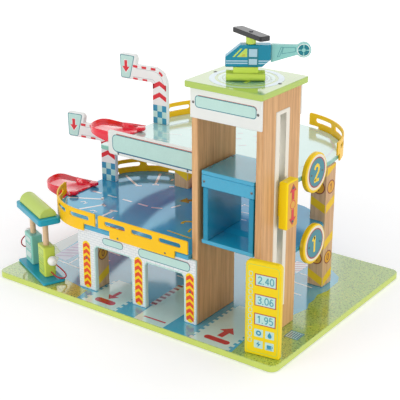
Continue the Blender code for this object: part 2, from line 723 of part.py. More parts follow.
def build_chutes(paint):
    routes = (
        ("chute_lower", DECK_1_LEFT, CHUTE_LOWER_Y, CHUTE_LOWER_STRAIGHT_END, CHUTE_LOWER_RADIUS,
         CHUTE_LOWER_SWEEP, DECK_1_TOP, BASE_TOP),
        ("chute_upper", DECK_2_LEFT, CHUTE_UPPER_Y, CHUTE_UPPER_STRAIGHT_END, CHUTE_UPPER_RADIUS,
         CHUTE_UPPER_SWEEP, DECK_2_TOP, DECK_1_TOP),
    )
    for name, edge_x, mouth_y, straight_end, radius, sweep, deck_top, ground in routes:
        landing = ground + GAP + CHUTE_FLOOR + CHUTE_FOOT
        rings = chute_stations(edge_x, mouth_y, straight_end, radius, sweep, deck_top, landing)
        add_object(name, skin(rings), paint["red"])
        level = deck_top + 2 * GAP + CHUTE_FLOOR + CHUTE_FOOT + CHUTE_THIN
        for side, end in ((-1, "front"), (1, "rear")):
            at = (edge_x + CHUTE_TONGUE + 0.001, mouth_y + side * (CHUTE_TONGUE_HALF - KNOB_INSET), level)
            profile = [(KNOB_RADIUS * 0.82, 0), (KNOB_RADIUS, 0.0012), (KNOB_RADIUS, KNOB_HEIGHT * 0.7),
                       (KNOB_RADIUS * 0.85, KNOB_HEIGHT * 0.93), (KNOB_RADIUS * 0.55, KNOB_HEIGHT)]
            knob = skin([[(x, y, z) for x, y in circle(ring, 20)] for ring, z in profile])
            add_object(name.replace("chute", "knob") + "_" + end, knob, paint["red"], at=at)


# Exit posts, number board and discs

def build_posts(paint):
    arm = POST_ARM_UNDER
    corners = [(0, 0), (POST_LEG, 0), (POST_LEG, POST_ARM_TOP), (-POST_SIGN_TOP_RIGHT - 0.003, POST_ARM_TOP),
               (-POST_SIGN_TOP_RIGHT, POST_TOP), (-POST_SIGN_LEFT, POST_TOP), (-POST_SIGN_LEFT + 0.002, arm),
               (0, arm)]
    radii = [0, 0, POST_ELBOW, 0.001, 0.007, 0.004, 0.004, 0.004]
    outline = rounded(corners, radii)
    for name, (x, y), turn, deck_top in (("exit_post_1", POST_1_AT, POST_1_TURN, DECK_1_TOP),
                                         ("exit_post_2", POST_2_AT, POST_2_TURN, DECK_2_TOP)):
        add_object(name, prism(outline, 0, POST_THICKNESS, FACING_FRONT), paint["white"],
                   at=(x, y, deck_top + GAP), turn=turn, edge=0.0015)


def build_totem(paint):
    outline = rounded(rectangle((0, 0), (TOTEM_WIDTH, TOTEM_HEIGHT)),
                      [0.002, 0.002, TOTEM_CORNER, TOTEM_CORNER])
    add_object("price_totem", prism(outline, 0, TOTEM_THICKNESS, FACING_FRONT), paint["yellow"],
               at=(*TOTEM_AT, BASE_TOP + GAP), turn=TOTEM_TURN, edge=0.0015)


def disc_places():
    return {"disc_1": (DECK_1_RIGHT, DISC_1_Y, DECK_1_TOP + DISC_1_RISE),
            "disc_2": (DECK_2_RIGHT, DISC_2_Y, DECK_2_TOP + DISC_2_RISE)}


def build_discs(paint):
    for name, (x, y, z) in disc_places().items():
        add_object(name, prism(circle(DISC_RADIUS, 40), GAP, DISC_THICKNESS, FACING_SIDE), paint["yellow"],
                   at=(x, y, z), edge=0.0012)


# Lift

def build_lift(paint):
    """Cabin in the shaft, and the slider outside that moves it through the slot."""
    lift = add_empty("lift_axis", (TOWER_MIDDLE, SLOT_MIDDLE, LIFT_MIDDLE))

    def place(name, bm, colour, edge=EDGE):
        bm.transform(Matrix.Translation((-TOWER_MIDDLE, -SLOT_MIDDLE, -LIFT_MIDDLE)))
        return add_object(name, bm, paint[colour], parent=lift, edge=edge)

    left, right, front, back = CABIN_LEFT, CABIN_RIGHT, CABIN_FRONT, CABIN_BACK
    floor_top = CABIN_BOTTOM + CABIN_BOARD
    roof_under = CABIN_TOP - CABIN_BOARD
    rise = floor_top + CABIN_STEP
    section = [(front, CABIN_BOTTOM), (back, CABIN_BOTTOM), (back, rise), (front + CABIN_STEP_END, rise),
               (front + CABIN_STEP_START, floor_top), (front, floor_top)]
    bm = prism(section, left, right, FACING_SIDE)
    place("lift_floor", bm, "cyan")
    place("lift_roof", box((left, front, roof_under), (right, back, CABIN_TOP)), "cyan")
    header_low = roof_under - CABIN_HEADER
    for name, y in (("lift_header_front", front), ("lift_header_rear", back - CABIN_HEADER_THICKNESS)):
        place(name, box((left, y, header_low), (right, y + CABIN_HEADER_THICKNESS, roof_under - GAP)), "cyan")
    wall_left = left + CABIN_INSET
    wall_right = right - 0.0005 - CABIN_WALL
    notch = CABIN_HEADER_THICKNESS + GAP
    lower, upper = header_low - GAP, roof_under - GAP
    over = rise + GAP
    under = floor_top + GAP
    profile = [(front, under), (front + CABIN_STEP_START, under), (front + CABIN_STEP_END, over),
               (back, over), (back, lower), (back - notch, lower), (back - notch, upper),
               (front + notch, upper), (front + notch, lower), (front, lower)]
    for name, x in (("lift_wall_left", wall_left), ("lift_wall_right", wall_right)):
        place(name, prism(profile, x, x + CABIN_WALL, FACING_SIDE), "cyan", edge=0.0006)

    groove = SLOT_WIDTH - 2 * STRIP_WIDTH - 2 * GAP
    half = groove / 2 - NECK_PLAY
    up = NECK_LENGTH_UP / 2
    slider_x = TOWER_RIGHT + SLIDER_OFF_WALL
    neck = box((wall_right + CABIN_WALL + GAP, SLOT_MIDDLE - half, LIFT_MIDDLE - up),
               (slider_x - GAP, SLOT_MIDDLE + half, LIFT_MIDDLE + up))
    place("lift_slider_neck", neck, "yellow", edge=0.0006)
    wide, tall = SLIDER_WIDTH / 2, SLIDER_HEIGHT / 2
    outline = rectangle((SLOT_MIDDLE - wide, LIFT_MIDDLE - tall), (SLOT_MIDDLE + wide, LIFT_MIDDLE + tall))
    block = prism(outline, slider_x, slider_x + SLIDER_THICKNESS, FACING_SIDE)
    place("lift_slider_block", block, "yellow", edge=SLIDER_CORNER / 2)


# Helicopter

def build_helicopter(paint):
    base = add_empty("helicopter_base", (*HELI_AT, ROOF_TOP + GAP), HELI_TURN)

    for side, end in ((-1, "right"), (1, "left")):
        ring = circle(HELI_SKID_RADIUS, 16, (side * HELI_SKID_HALF, HELI_SKID_RADIUS))
        skid = prism(ring, HELI_SKID_FRONT, HELI_SKID_FRONT + HELI_SKID_LENGTH, FACING_SIDE)
        add_object("heli_skid_" + end, skid, paint["lime"], parent=base, edge=0.0008)

    half = HELI_BLOCK_WIDTH / 2
    front, back = HELI_BLOCK_FRONT, HELI_BLOCK_FRONT + HELI_BLOCK_LENGTH
    block = add_object("heli_skid_block", box((front, -half, HELI_BLOCK_BOTTOM),
                                              (back, half, HELI_BODY_BOTTOM - GAP)), paint["lime"],
                       parent=base, edge=0.0006)
    for side in (-1, 1):
        ring = circle(HELI_SKID_RADIUS + GAP, 24, (side * HELI_SKID_HALF, HELI_SKID_RADIUS))
        cut(block, prism(ring, front - 0.005, back + 0.005, FACING_SIDE), parent=base)

    low, high = HELI_BODY_BOTTOM, HELI_BODY_BOTTOM + HELI_BODY_HEIGHT
    nose, tail = HELI_NOSE, HELI_NOSE + HELI_BODY_LENGTH
    corners = [(nose, low), (tail - HELI_TAIL_CHAMFER_RUN, low), (tail, low + HELI_TAIL_CHAMFER_RISE),
               (tail, high), (nose + HELI_SCREEN_RUN, high), (nose, low + HELI_NOSE_HEIGHT)]
    half = HELI_BODY_WIDTH / 2
    add_object("heli_body", prism(rounded(corners, 0.0015), -half, half, FACING_FRONT), paint["teal"],
               parent=base, edge=0.0010)

    start = tail + GAP
    end = HELI_BOOM_END
    half = HELI_BOOM_WIDTH / 2
    fan = (HELI_FAN_AT, high - HELI_BOOM_END_HEIGHT / 2 - 0.001)
    reach = math.sqrt(HELI_FAN_RADIUS ** 2 - (HELI_BOOM_END_HEIGHT / 2) ** 2)
    join = fan[0] - reach
    boom = [(start, low + HELI_TAIL_CHAMFER_RISE * 0.55), (end, fan[1] - HELI_BOOM_END_HEIGHT / 2)]
    span = math.pi - math.asin(HELI_BOOM_END_HEIGHT / 2 / HELI_FAN_RADIUS)
    count = 28
    for i in range(count + 1):
        angle = -span + 2 * span * i / count
        boom.append((fan[0] + HELI_FAN_RADIUS * math.cos(angle), fan[1] + HELI_FAN_RADIUS * math.sin(angle)))
    boom += [(end, fan[1] + HELI_BOOM_END_HEIGHT / 2), (start, high)]
    boom = [point for i, point in enumerate(boom) if i == 0 or point != boom[i - 1]]
    boom[1] = (min(end, join - 0.001), boom[1][1])
    boom[-2] = (min(end, join - 0.001), boom[-2][1])
    add_object("heli_tail_boom", prism(boom, -half, half, FACING_FRONT), paint["mint"], parent=base,
               edge=0.0007)

    hub = add_object("heli_rotor_hub", prism(circle(HELI_HUB_RADIUS, 24), high + GAP, high + HELI_HUB_HEIGHT),
                     paint["lime"], parent=base, edge=0.0007)
    rotor_low = high + HELI_HUB_HEIGHT + GAP
    rotor_high = rotor_low + ROTOR_THICKNESS
    depth = rotor_high - ROTOR_SCREW_DEPTH - ROTOR_THICKNESS
    cut(hub, prism(circle(ROTOR_SCREW_SHANK + GAP, 16), depth - ROTOR_SCREW_POCKET, rotor_low + 0.001),
        parent=base)

    axis = add_empty("rotor_axis", (*HELI_AT, ROOF_TOP + GAP + rotor_low), HELI_TURN)
    long, wide = ROTOR_LENGTH / 2, ROTOR_WIDTH / 2
    turn = ROTOR_TURN - HELI_TURN
    blade = add_object("heli_rotor_bar", prism(rounded(rectangle((-long, -wide), (long, wide)), ROTOR_CORNER),
                                               0, ROTOR_THICKNESS), paint["black"], turn=turn, parent=axis,
                       edge=0.0007)
    cut(blade, prism(circle(ROTOR_SCREW_SHANK + ROTOR_PLAY, 16), -0.002, ROTOR_THICKNESS + 0.002),
        parent=axis)

    rings = [(ROTOR_SCREW_SHANK, depth), (ROTOR_SCREW_SHANK, rotor_high + GAP),
             (ROTOR_SCREW_HEAD, rotor_high + GAP), (ROTOR_SCREW_HEAD, rotor_high + 0.0010),
             (ROTOR_SCREW_HEAD * 0.75, rotor_high + 0.0018),
             (ROTOR_SCREW_HEAD * 0.3, rotor_high + 0.0022)]
    screw = skin([[(x, y, z) for x, y in circle(radius, 16)] for radius, z in rings])
    add_object("heli_rotor_screw", screw, paint["steel"], parent=base)


# Petrol station

def smooth_route(points, spacing):
    """Even points along a Catmull-Rom curve through the route's own points."""
    nodes = [Vector(point) for point in points]
    nodes = [2 * nodes[0] - nodes[1]] + nodes + [2 * nodes[-1] - nodes[-2]]
    fine = []
    for a, b, c, d in zip(nodes, nodes[1:], nodes[2:], nodes[3:]):
        for i in range(20):
            t = i / 20
            fine.append(0.5 * (2 * b + (c - a) * t + (2 * a - 5 * b + 4 * c - d) * t ** 2
                               + (3 * b - a - 3 * c + d) * t ** 3))
    fine.append(nodes[-2])
    lengths = [0.0]
    for first, second in zip(fine, fine[1:]):
        lengths.append(lengths[-1] + (second - first).length)
    count = max(8, round(lengths[-1] / spacing))
    route, index = [], 0
    for i in range(count + 1):
        wanted = lengths[-1] * i / count
        while index < len(fine) - 2 and lengths[index + 1] < wanted:
            index += 1
        part = (wanted - lengths[index]) / max(lengths[index + 1] - lengths[index], 1e-9)
        route.append(fine[index].lerp(fine[index + 1], min(part, 1.0)))
    return route


def add_hose(name, points, finish, parent):
    curve = bpy.data.curves.new(name, "CURVE")
    curve.dimensions = "3D"
    curve.bevel_depth = HOSE_RADIUS
    curve.bevel_resolution = HOSE_SIDES
    curve.use_fill_caps = True
    route = smooth_route(points, HOSE_SPACING)
    spline = curve.splines.new("POLY")
    spline.points.add(len(route) - 1)
    for point, place in zip(spline.points, route):
        point.co = (*place, 1)
    curve.materials.append(make_material(name + "_finish", finish))
    item = bpy.data.objects.new(name, curve)
    item.parent = parent
    bpy.context.scene.collection.objects.link(item)


# Route of each hose in the station's frame, from the hole in its pump to its nozzle
HOSE_RIGHT_ROUTE = [(0.0400, 0.0035, 0.0135), (0.0450, 0.0045, 0.0120), (0.0505, 0.0070, 0.0092),
                    (0.0560, 0.0118, 0.0068), (0.0598, 0.0180, 0.0062), (0.0600, 0.0232, 0.0085),
                    (0.0582, 0.0232, 0.0135), (0.0562, 0.0195, 0.0195), (0.0545, 0.0140, 0.0262),
                    (0.0525, 0.0087, 0.0320)]
HOSE_LEFT_ROUTE = [(-0.0562, -0.0020, 0.0262), (-0.0595, -0.0030, 0.0262), (-0.0615, -0.0065, 0.0268),
                   (-0.0625, -0.0105, 0.0292), (-0.0632, -0.0128, 0.0340), (-0.0638, -0.0122, 0.0395),
                   (-0.0641, -0.0085, 0.0444), (-0.0641, -0.0042, 0.0474)]
NOZZLE_Y = 0.0035
NOZZLE_RIGHT_Z = 0.0388
NOZZLE_LEFT_Z = 0.0527


def nozzle(centre, side):
    """Wooden bead with a small flat where it sits on its pump."""
    rows, sides = 10, 20
    limit = math.acos(1 - NOZZLE_FLAT / NOZZLE_RADIUS)
    rings = []
    for row in range(rows):
        angle = limit + (math.pi - 2 * limit) * row / (rows - 1)
        out = -side * NOZZLE_RADIUS * math.cos(angle)
        around = NOZZLE_RADIUS * math.sin(angle)
        rings.append([(centre[0] + out, centre[1] + x, centre[2] + z) for x, z in circle(around, sides)])
    return skin(rings)


def build_station(paint):
    base = add_empty("station_base_point", (*STATION_AT, BASE_TOP + GAP), STATION_TURN)
    half = (STATION_LENGTH / 2, STATION_WIDTH / 2)
    board = rounded(rectangle((-half[0], -half[1]), half), STATION_CORNER)
    add_object("station_base", prism(board, 0, STATION_THICKNESS), paint["teal"], parent=base, edge=EDGE)
    foot = STATION_THICKNESS + GAP
    pump_top = STATION_THICKNESS + PUMP_HEIGHT
    pumps = (("left", PUMP_LEFT_X, PUMP_LENGTH_LEFT, "mint"),
             ("right", PUMP_RIGHT_X, PUMP_LENGTH_RIGHT, "lime"))
    for side, x, length, colour in pumps:
        across = PUMP_DEPTH / 2
        outline = rounded(rectangle((x - length / 2, PUMP_Y - across), (x + length / 2, PUMP_Y + across)),
                          PUMP_CORNER)
        pump = add_object("station_pump_" + side, prism(outline, foot, pump_top), paint[colour],
                          parent=base, edge=EDGE)
        cut(pump, prism(circle(DOWEL_RADIUS + GAP, 24, (x, PUMP_Y)), pump_top - DOWEL_SEAT, pump_top + 0.01),
            parent=base)
        dowel = circle(DOWEL_RADIUS, 24, (x, PUMP_Y))
        add_object("station_dowel_" + side, prism(dowel, pump_top - DOWEL_SEAT + GAP, CANOPY_BOTTOM - GAP),
                   paint["wood"], parent=base)
    long, wide = CANOPY_LENGTH / 2, CANOPY_WIDTH / 2
    board = rounded(rectangle((CANOPY_X - long, PUMP_Y - wide), (CANOPY_X + long, PUMP_Y + wide)),
                    CANOPY_CORNER)
    canopy_top = CANOPY_BOTTOM + CANOPY_THICKNESS
    add_object("station_canopy", prism(board, CANOPY_BOTTOM, canopy_top), paint["teal"], parent=base,
               edge=EDGE)
    steps = 16
    arc = [(PUMP_Y + CANOPY_ROUND_RADIUS * math.cos(math.pi * i / steps),
            canopy_top + GAP + CANOPY_ROUND_RADIUS * math.sin(math.pi * i / steps)) for i in range(steps + 1)]
    run = CANOPY_ROUND_LENGTH / 2
    add_object("station_canopy_top", prism(arc, CANOPY_X - run, CANOPY_X + run, FACING_SIDE), paint["lime"],
               parent=base, edge=EDGE)

    right_face = PUMP_RIGHT_X + PUMP_LENGTH_RIGHT / 2
    left_face = PUMP_LEFT_X - PUMP_LENGTH_LEFT / 2
    seat = NOZZLE_RADIUS - NOZZLE_FLAT + GAP
    add_object("station_nozzle_right", nozzle((right_face + seat, NOZZLE_Y, NOZZLE_RIGHT_Z), 1),
               paint["white"], parent=base)
    add_object("station_nozzle_left", nozzle((left_face - seat, NOZZLE_Y, NOZZLE_LEFT_Z), -1),
               paint["white"], parent=base)
    add_hose("station_hose_right", HOSE_RIGHT_ROUTE, paint["hose"], base)
    add_hose("station_hose_left", HOSE_LEFT_ROUTE, paint["hose"], base)


def main():
    clear_scene()
    paint = {
        "green": ((0.52, 0.66, 0.16), 0.30, 0.0),
        "wood": ((0.60, 0.40, 0.24), 0.55, 0.0),
        "white": ((0.82, 0.83, 0.84), 0.30, 0.0),
        "blue": ((0.10, 0.38, 0.58), 0.18, 0.0),
        "mint": ((0.55, 0.78, 0.74), 0.18, 0.0),
        "cyan": ((0.08, 0.45, 0.68), 0.25, 0.0),
        "teal": ((0.03, 0.32, 0.45), 0.30, 0.0),
        "yellow": ((0.95, 0.66, 0.01), 0.30, 0.0),
        "lime": ((0.45, 0.62, 0.10), 0.35, 0.0),
        "red": ((0.80, 0.01, 0.05), 0.15, 0.0),
        "hose": ((0.45, 0.01, 0.03), 0.50, 0.0),
        "black": ((0.02, 0.02, 0.03), 0.25, 0.0),
        "steel": ((0.55, 0.55, 0.55), 0.30, 1.0),
    }
    build_base(paint)
    build_tower(paint)
    build_columns(paint)
    build_decks(paint)
    build_facade(paint)
    build_sign(paint)
    build_rails(paint)
    build_chutes(paint)
    build_posts(paint)
    build_totem(paint)
    build_discs(paint)
    build_lift(paint)
    build_helicopter(paint)
    build_station(paint)


main()
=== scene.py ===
"""Looks of a wooden toy garage: printed boards, bare wood, plastic chutes, a lift, a helicopter and pumps."""

from math import cos, pi, radians, sin

import bmesh
import bpy
from mathutils import Matrix, Vector


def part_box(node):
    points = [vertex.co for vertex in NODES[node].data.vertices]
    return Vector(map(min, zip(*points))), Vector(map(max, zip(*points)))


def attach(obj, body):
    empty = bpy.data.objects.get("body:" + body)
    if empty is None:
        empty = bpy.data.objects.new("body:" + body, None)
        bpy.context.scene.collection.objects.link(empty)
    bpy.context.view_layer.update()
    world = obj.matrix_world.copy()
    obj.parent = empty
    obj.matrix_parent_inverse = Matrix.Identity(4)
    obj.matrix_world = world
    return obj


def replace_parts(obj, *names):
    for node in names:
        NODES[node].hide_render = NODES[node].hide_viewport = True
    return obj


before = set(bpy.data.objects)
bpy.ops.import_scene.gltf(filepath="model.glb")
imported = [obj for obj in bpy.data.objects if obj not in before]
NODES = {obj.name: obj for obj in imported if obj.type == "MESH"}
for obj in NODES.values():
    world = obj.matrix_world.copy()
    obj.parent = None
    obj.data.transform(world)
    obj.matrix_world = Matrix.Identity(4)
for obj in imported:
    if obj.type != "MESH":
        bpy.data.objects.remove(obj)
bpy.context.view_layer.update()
MM = 0.001
scene = bpy.context.scene

# Directions, the printed faces of boards and panels, and the gap under what stands on them, in millimetres

RIGHT, BACK, UP, FRONT = (1, 0, 0), (0, 1, 0), (0, 0, 1), (0, -1, 0)
BASE_TOP, DECK_1_TOP, DECK_2_TOP, ROOF_TOP = 11.5, 137.8, 249, 431.3
PANEL_FRONT, SIGN_FRONT = -176, -88
SEAT = 0.3

# Camera, at the photograph's viewing angle

CAMERA_AT = (1.0684, -1.4742, 0.8731)
CAMERA_WAY = (-0.5447, 0.7534, -0.3685)
CAMERA_LENS = 98.17


def add_object(name, data, body=None):
    """Object for a mesh, curve, lamp or camera; a piece of the toy rides on a body."""
    item = bpy.data.objects.new(name, data)
    scene.collection.objects.link(item)
    if body:
        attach(item, body)
    return item


def aim(item, at, way):
    item.location = at
    item.rotation_euler = Vector(way).to_track_quat("-Z", "Y").to_euler()


camera = add_object("camera", bpy.data.cameras.new("camera"))
camera.data.sensor_width = 36
camera.data.lens = CAMERA_LENS
aim(camera, CAMERA_AT, CAMERA_WAY)
scene.camera = camera
scene.view_settings.view_transform = "Standard"


# Node trees

def linear(colour):
    """Scene-linear colour with alpha from 0 to 255 screen values."""
    values = []
    for value in colour:
        value /= 255
        values.append(value / 12.92 if value <= 0.04045 else ((value + 0.055) / 1.055) ** 2.4)
    return (*values, 1.0)


class Look:
    """Material or world in the making; its calls add nodes and return their outputs."""

    def __init__(self, name, kind="materials"):
        self.block = getattr(bpy.data, kind).new(name)
        self.block.use_nodes = True
        self.tree = self.block.node_tree
        self.place = self.node("TexCoord")["Object"]

    def connect(self, item, inputs):
        """Give each named socket of a node a value, or link another node's output to it."""
        for key, value in inputs.items():
            if isinstance(value, bpy.types.NodeSocket):
                self.tree.links.new(value, item.inputs[key])
            else:
                item.inputs[key].default_value = value

    def node(self, kind, inputs=None, **settings):
        item = self.tree.nodes.new("ShaderNode" + kind)
        for key, value in settings.items():
            setattr(item, key, value)
        self.connect(item, inputs or {})
        return item.outputs

    def shader(self, inputs):
        """Set the shader's own sockets and hand the material over."""
        self.connect(self.tree.nodes["Principled BSDF"], inputs)
        return self.block

    def mix(self, factor, first, second):
        return self.node("Mix", {0: factor, 6: first, 7: second}, data_type="RGBA")[2]

    def remap(self, *values):
        """A value is followed by the low and high end of its range, and of its new range."""
        return self.node("MapRange", dict(enumerate(values)))[0]

    def noise(self, scale, detail, roughness=0.5, place=None):
        return self.node("TexNoise", {"Vector": self.place if place is None else place, "Scale": scale,
                                      "Detail": detail, "Roughness": roughness})[0]

    def stretched(self, scale):
        return self.node("Mapping", {"Vector": self.place, "Scale": scale})[0]

    def vector_math(self, operation, first, second):
        return self.node("VectorMath", {0: first, 1: second}, operation=operation)

    def toned(self, colour, value):
        return self.node("HueSaturation", {"Color": colour, "Value": value})[0]

    def bump(self, strength, distance, height):
        return self.node("Bump", {"Strength": strength, "Distance": distance, "Height": height})[0]

    def facing(self, axis, sign):
        """1 where the surface faces along an axis, such as a board's printed top, and 0 elsewhere."""
        normal = self.node("NewGeometry")["True Normal"]
        return self.remap(self.node("SeparateXYZ", {0: normal})[axis], 0.6 * sign, 0.8 * sign, 0, 1)

    def seen(self, *kinds):
        """1 where a ray of one of these kinds meets the studio, and 0 for the light that falls on the toy."""
        rays = self.node("LightPath")
        result = rays["Is %s Ray" % kinds[0]]
        for kind in kinds[1:]:
            result = self.node("Math", {0: result, 1: rays["Is %s Ray" % kind]}, operation="MAXIMUM")[0]
        return result

    def finish(self, colour, roughness, coat, mottling=0.02, orange_peel=0.02, coat_index=1.5, specular=0.5):
        """Faint colour variation, uneven gloss and a fine texture, for all painted surfaces."""
        patches = self.remap(self.noise(38, 3), 0.25, 0.75, 1 - mottling, 1 + mottling)
        fine = self.remap(self.noise(260, 3), 0.3, 0.7, roughness - 0.02, roughness + 0.02)
        return self.shader({"Base Color": self.toned(colour, patches), "Roughness": fine, "Coat Weight": coat,
                            "Coat Roughness": 0.10, "Coat IOR": coat_index, "Specular IOR Level": specular,
                            "Normal": self.bump(orange_peel, 0.0004, self.noise(520, 2))})


# Materials

BOARD_INDEX = 2.0
Y_AXIS, Z_AXIS = 1, 2


def satin(coat):
    """Specular level under a coat: thin coats are satin, and glossy ones leave the shader's own."""
    return 0.3 if coat < 0.4 else 0.5


def paint(name, colour, roughness, coat, top=None, under=None, mottling=0.02, coat_index=1.5):
    """Painted board; top and under are other colours for its upper and lower face."""
    look = Look(name)
    shade = linear(colour)
    if top:
        shade = look.mix(look.facing(Z_AXIS, 1), shade, linear(top))
    if under:
        shade = look.mix(look.facing(Z_AXIS, -1), shade, linear(under))
    varnish = look.facing(Z_AXIS, 1) if top and coat == 1.0 else coat
    return look.finish(shade, roughness, varnish, mottling, 0.03, coat_index, satin(coat))


def wood(name, light, dark, streak=150):
    """Bare wood with its grain along Z."""
    look = Look(name)
    bend = look.noise(14, 2, place=look.stretched((1, 1, 0.3)))
    wave = look.vector_math("MULTIPLY", bend, (0.006, 0.006, 0))[0]
    grain = look.vector_math("ADD", look.stretched((1, 1, 0.035)), wave)[0]
    broad = look.noise(streak, 3, 0.6, grain)
    fine = look.noise(streak * 6, 2, 0.7, grain)
    ramp = look.node("ValToRGB", {0: broad})[0]
    for stop, at, colour in zip(ramp.node.color_ramp.elements, (0.28, 0.66), (dark, light)):
        stop.position, stop.color = at, linear(colour)
    return look.shader({"Base Color": look.toned(ramp, look.remap(fine, 0.35, 0.62, 0.88, 1.03)),
                        "Roughness": look.remap(broad, 0.3, 0.7, 0.58, 0.44), "Coat Weight": 0.08,
                        "Coat Roughness": 0.3, "Normal": look.bump(0.25, 0.0004, fine)})


def speckled_grass(name):
    """Base board: lime edge, and a printed green top with fine dark and yellow specks."""
    look = Look(name)
    spot = look.vector_math("DISTANCE", look.place, (-0.155, -0.205, 0.0115))["Value"]
    ground = look.mix(look.noise(16, 3), linear((172, 205, 88)), linear((152, 190, 84)))
    for value, low, high, strength, colour in (
            (spot, 0.085, 0.02, 1, (196, 196, 78)), (look.noise(330, 1), 0.56, 0.62, 0.9, (96, 134, 50)),
            (look.noise(300, 1, place=look.stretched((1.3, 1, 1))), 0.62, 0.67, 0.7, (222, 226, 96))):
        ground = look.mix(look.remap(value, low, high, 0, strength), ground, linear(colour))
    shade = look.mix(look.facing(Z_AXIS, 1), linear((206, 222, 104)), ground)
    return look.finish(shade, 0.14, look.facing(Z_AXIS, 1), coat_index=BOARD_INDEX)


def brick_white(name):
    """White front with faint rows of bricks."""
    look = Look(name)
    turned = look.node("Mapping", {"Vector": look.place, "Rotation": (pi / 2, 0, 0)})[0]
    rows = look.node("TexBrick", {
        "Vector": turned, "Color1": linear((236, 239, 240)), "Color2": linear((230, 234, 236)),
        "Mortar": linear((206, 213, 217)), "Scale": 1.0, "Mortar Size": 0.0005, "Mortar Smooth": 0.3,
        "Brick Width": 0.0095, "Row Height": 0.0046})
    shade = look.mix(look.facing(Y_AXIS, -1), linear((208, 232, 228)), rows["Color"])
    return look.finish(shade, 0.34, 0.2, 0.015, 0.03)


def plastic(name, colour):
    """Moulded plastic that lets a little light in."""
    look = Look(name)
    shade = look.mix(look.noise(24, 2), linear(colour), linear([min(255, c * 1.06 + 3) for c in colour]))
    look.finish(shade, 0.18, 1.0, coat_index=1.4, specular=0.25)
    return look.shader({"Subsurface Weight": 0.3, "Subsurface Radius": (0.006, 0.001, 0.001),
                        "Subsurface Scale": 1.0})


def steel(name, colour=(150, 150, 152)):
    look = Look(name)
    brushed = look.noise(900, 2, place=look.stretched((1, 1, 0.2)))
    return look.shader({"Base Color": look.mix(brushed, linear(colour), linear([c * 0.75 for c in colour])),
                        "Roughness": look.remap(brushed, 0.3, 0.7, 0.22, 0.4), "Metallic": 1.0})


def braided_cord(name, colour):
    look = Look(name)
    braid = look.node("TexWave", {"Vector": look.place, "Scale": 420.0, "Distortion": 2.0, "Detail": 1.0},
                      bands_direction="DIAGONAL")["Fac"]
    return look.shader({"Base Color": look.mix(braid, linear([c * 0.72 for c in colour]), linear(colour)),
                        "Roughness": 0.5, "Normal": look.bump(0.5, 0.0003, braid)})


# Printed inks, and the roughness, coat and coat index of the faces that they are printed on

INKS = {
    "road": (66, 182, 216), "mint": (184, 228, 218), "pale": (205, 228, 222), "white": (252, 252, 248),
    "red": (222, 34, 50), "maroon": (160, 44, 58), "crimson": (206, 22, 52), "orange": (234, 72, 30),
    "yellow": (255, 216, 0), "gold": (246, 202, 22), "teal": (56, 138, 152), "blue": (48, 150, 186),
    "navy": (58, 92, 132), "ash": (190, 196, 200), "violet": (170, 150, 200), "lilac": (196, 204, 232),
    "rose": (232, 176, 196), "cream": (244, 232, 208), "lime": (196, 222, 96), "green": (84, 150, 92),
    "sky": (176, 210, 226), "deepteal": (14, 122, 136), "amber": (232, 170, 48), "rust": (138, 52, 44),
    "lane": (220, 252, 244), "plaque": (196, 230, 222), "digit": (92, 170, 182), "aqua": (196, 232, 224),
    "brick": (188, 84, 64), "olive": (200, 190, 70),
}
GLOSSES = {"varnish": (0.14, 1.0, BOARD_INDEX), "satin": (0.34, 0.2, 1.5), "wood": (0.45, 0.1, 1.5)}


def ink(key, gloss):
    """Printed ink with a faint screen texture; each is made once."""
    name = "ink_%s_%s" % (key, gloss)
    if name in bpy.data.materials:
        return bpy.data.materials[name]
    colour = INKS[key]
    roughness, coat, index = GLOSSES[gloss]
    look = Look(name)
    shade = look.mix(look.noise(300, 2), linear(colour), linear([c * 0.96 for c in colour]))
    return look.finish(shade, roughness, coat, coat_index=index, specular=satin(coat))


# Digits as strokes in a box 1 wide and 1.6 high

STROKES = {
    "0": [[(0.5, 0), (0.18, 0.16), (0, 0.5), (0, 1.1), (0.18, 1.44), (0.5, 1.6), (0.82, 1.44), (1, 1.1),
           (1, 0.5), (0.82, 0.16), (0.5, 0)]],
    "1": [[(0.55, 1.66), (0.55, -0.06)], [(0.08, 1.2), (0.52, 1.56)]],
    "2": [[(0.02, 1.2), (0.16, 1.48), (0.5, 1.6), (0.84, 1.48), (0.98, 1.18), (0.86, 0.84), (0.08, 0.06)],
          [(-0.06, 0), (1.04, 0)]],
    "3": [[(0.04, 1.34), (0.25, 1.56), (0.6, 1.6), (0.92, 1.4), (0.9, 1.05), (0.45, 0.86), (0.92, 0.66),
           (0.98, 0.32), (0.7, 0.04), (0.3, 0.0), (0.02, 0.24)]],
    "4": [[(0.78, 0), (0.78, 1.6)], [(0.74, 1.5), (0.04, 0.5)], [(-0.06, 0.46), (1.06, 0.46)]],
    "5": [[(0.92, 1.6), (0.16, 1.6), (0.1, 0.92), (0.5, 1.02), (0.9, 0.84), (1, 0.48), (0.8, 0.1), (0.4, 0),
           (0.04, 0.2)]],
    "6": [[(0.86, 1.5), (0.45, 1.56), (0.1, 1.1), (0.02, 0.5), (0.2, 0.08), (0.55, 0), (0.9, 0.16), (1, 0.5),
           (0.8, 0.84), (0.45, 0.9), (0.06, 0.6)]],
    "9": [[(0.14, 0.1), (0.55, 0.04), (0.9, 0.5), (0.98, 1.1), (0.8, 1.52), (0.45, 1.6), (0.1, 1.44),
           (0, 1.1), (0.2, 0.76), (0.55, 0.7), (0.94, 1.0)]],
}
STROKE_HEIGHT = 1.6

# How far the lowest shapes of a print lie in front of their face, and each layer above the last, in metres

PRINT_LIFT = 0.00008
LAYER_RISE = 0.00005


def mesh_from(bm, name, *materials):
    mesh = bpy.data.meshes.new(name)
    bm.to_mesh(mesh)
    bm.free()
    for material in materials:
        mesh.materials.append(material)
    return mesh


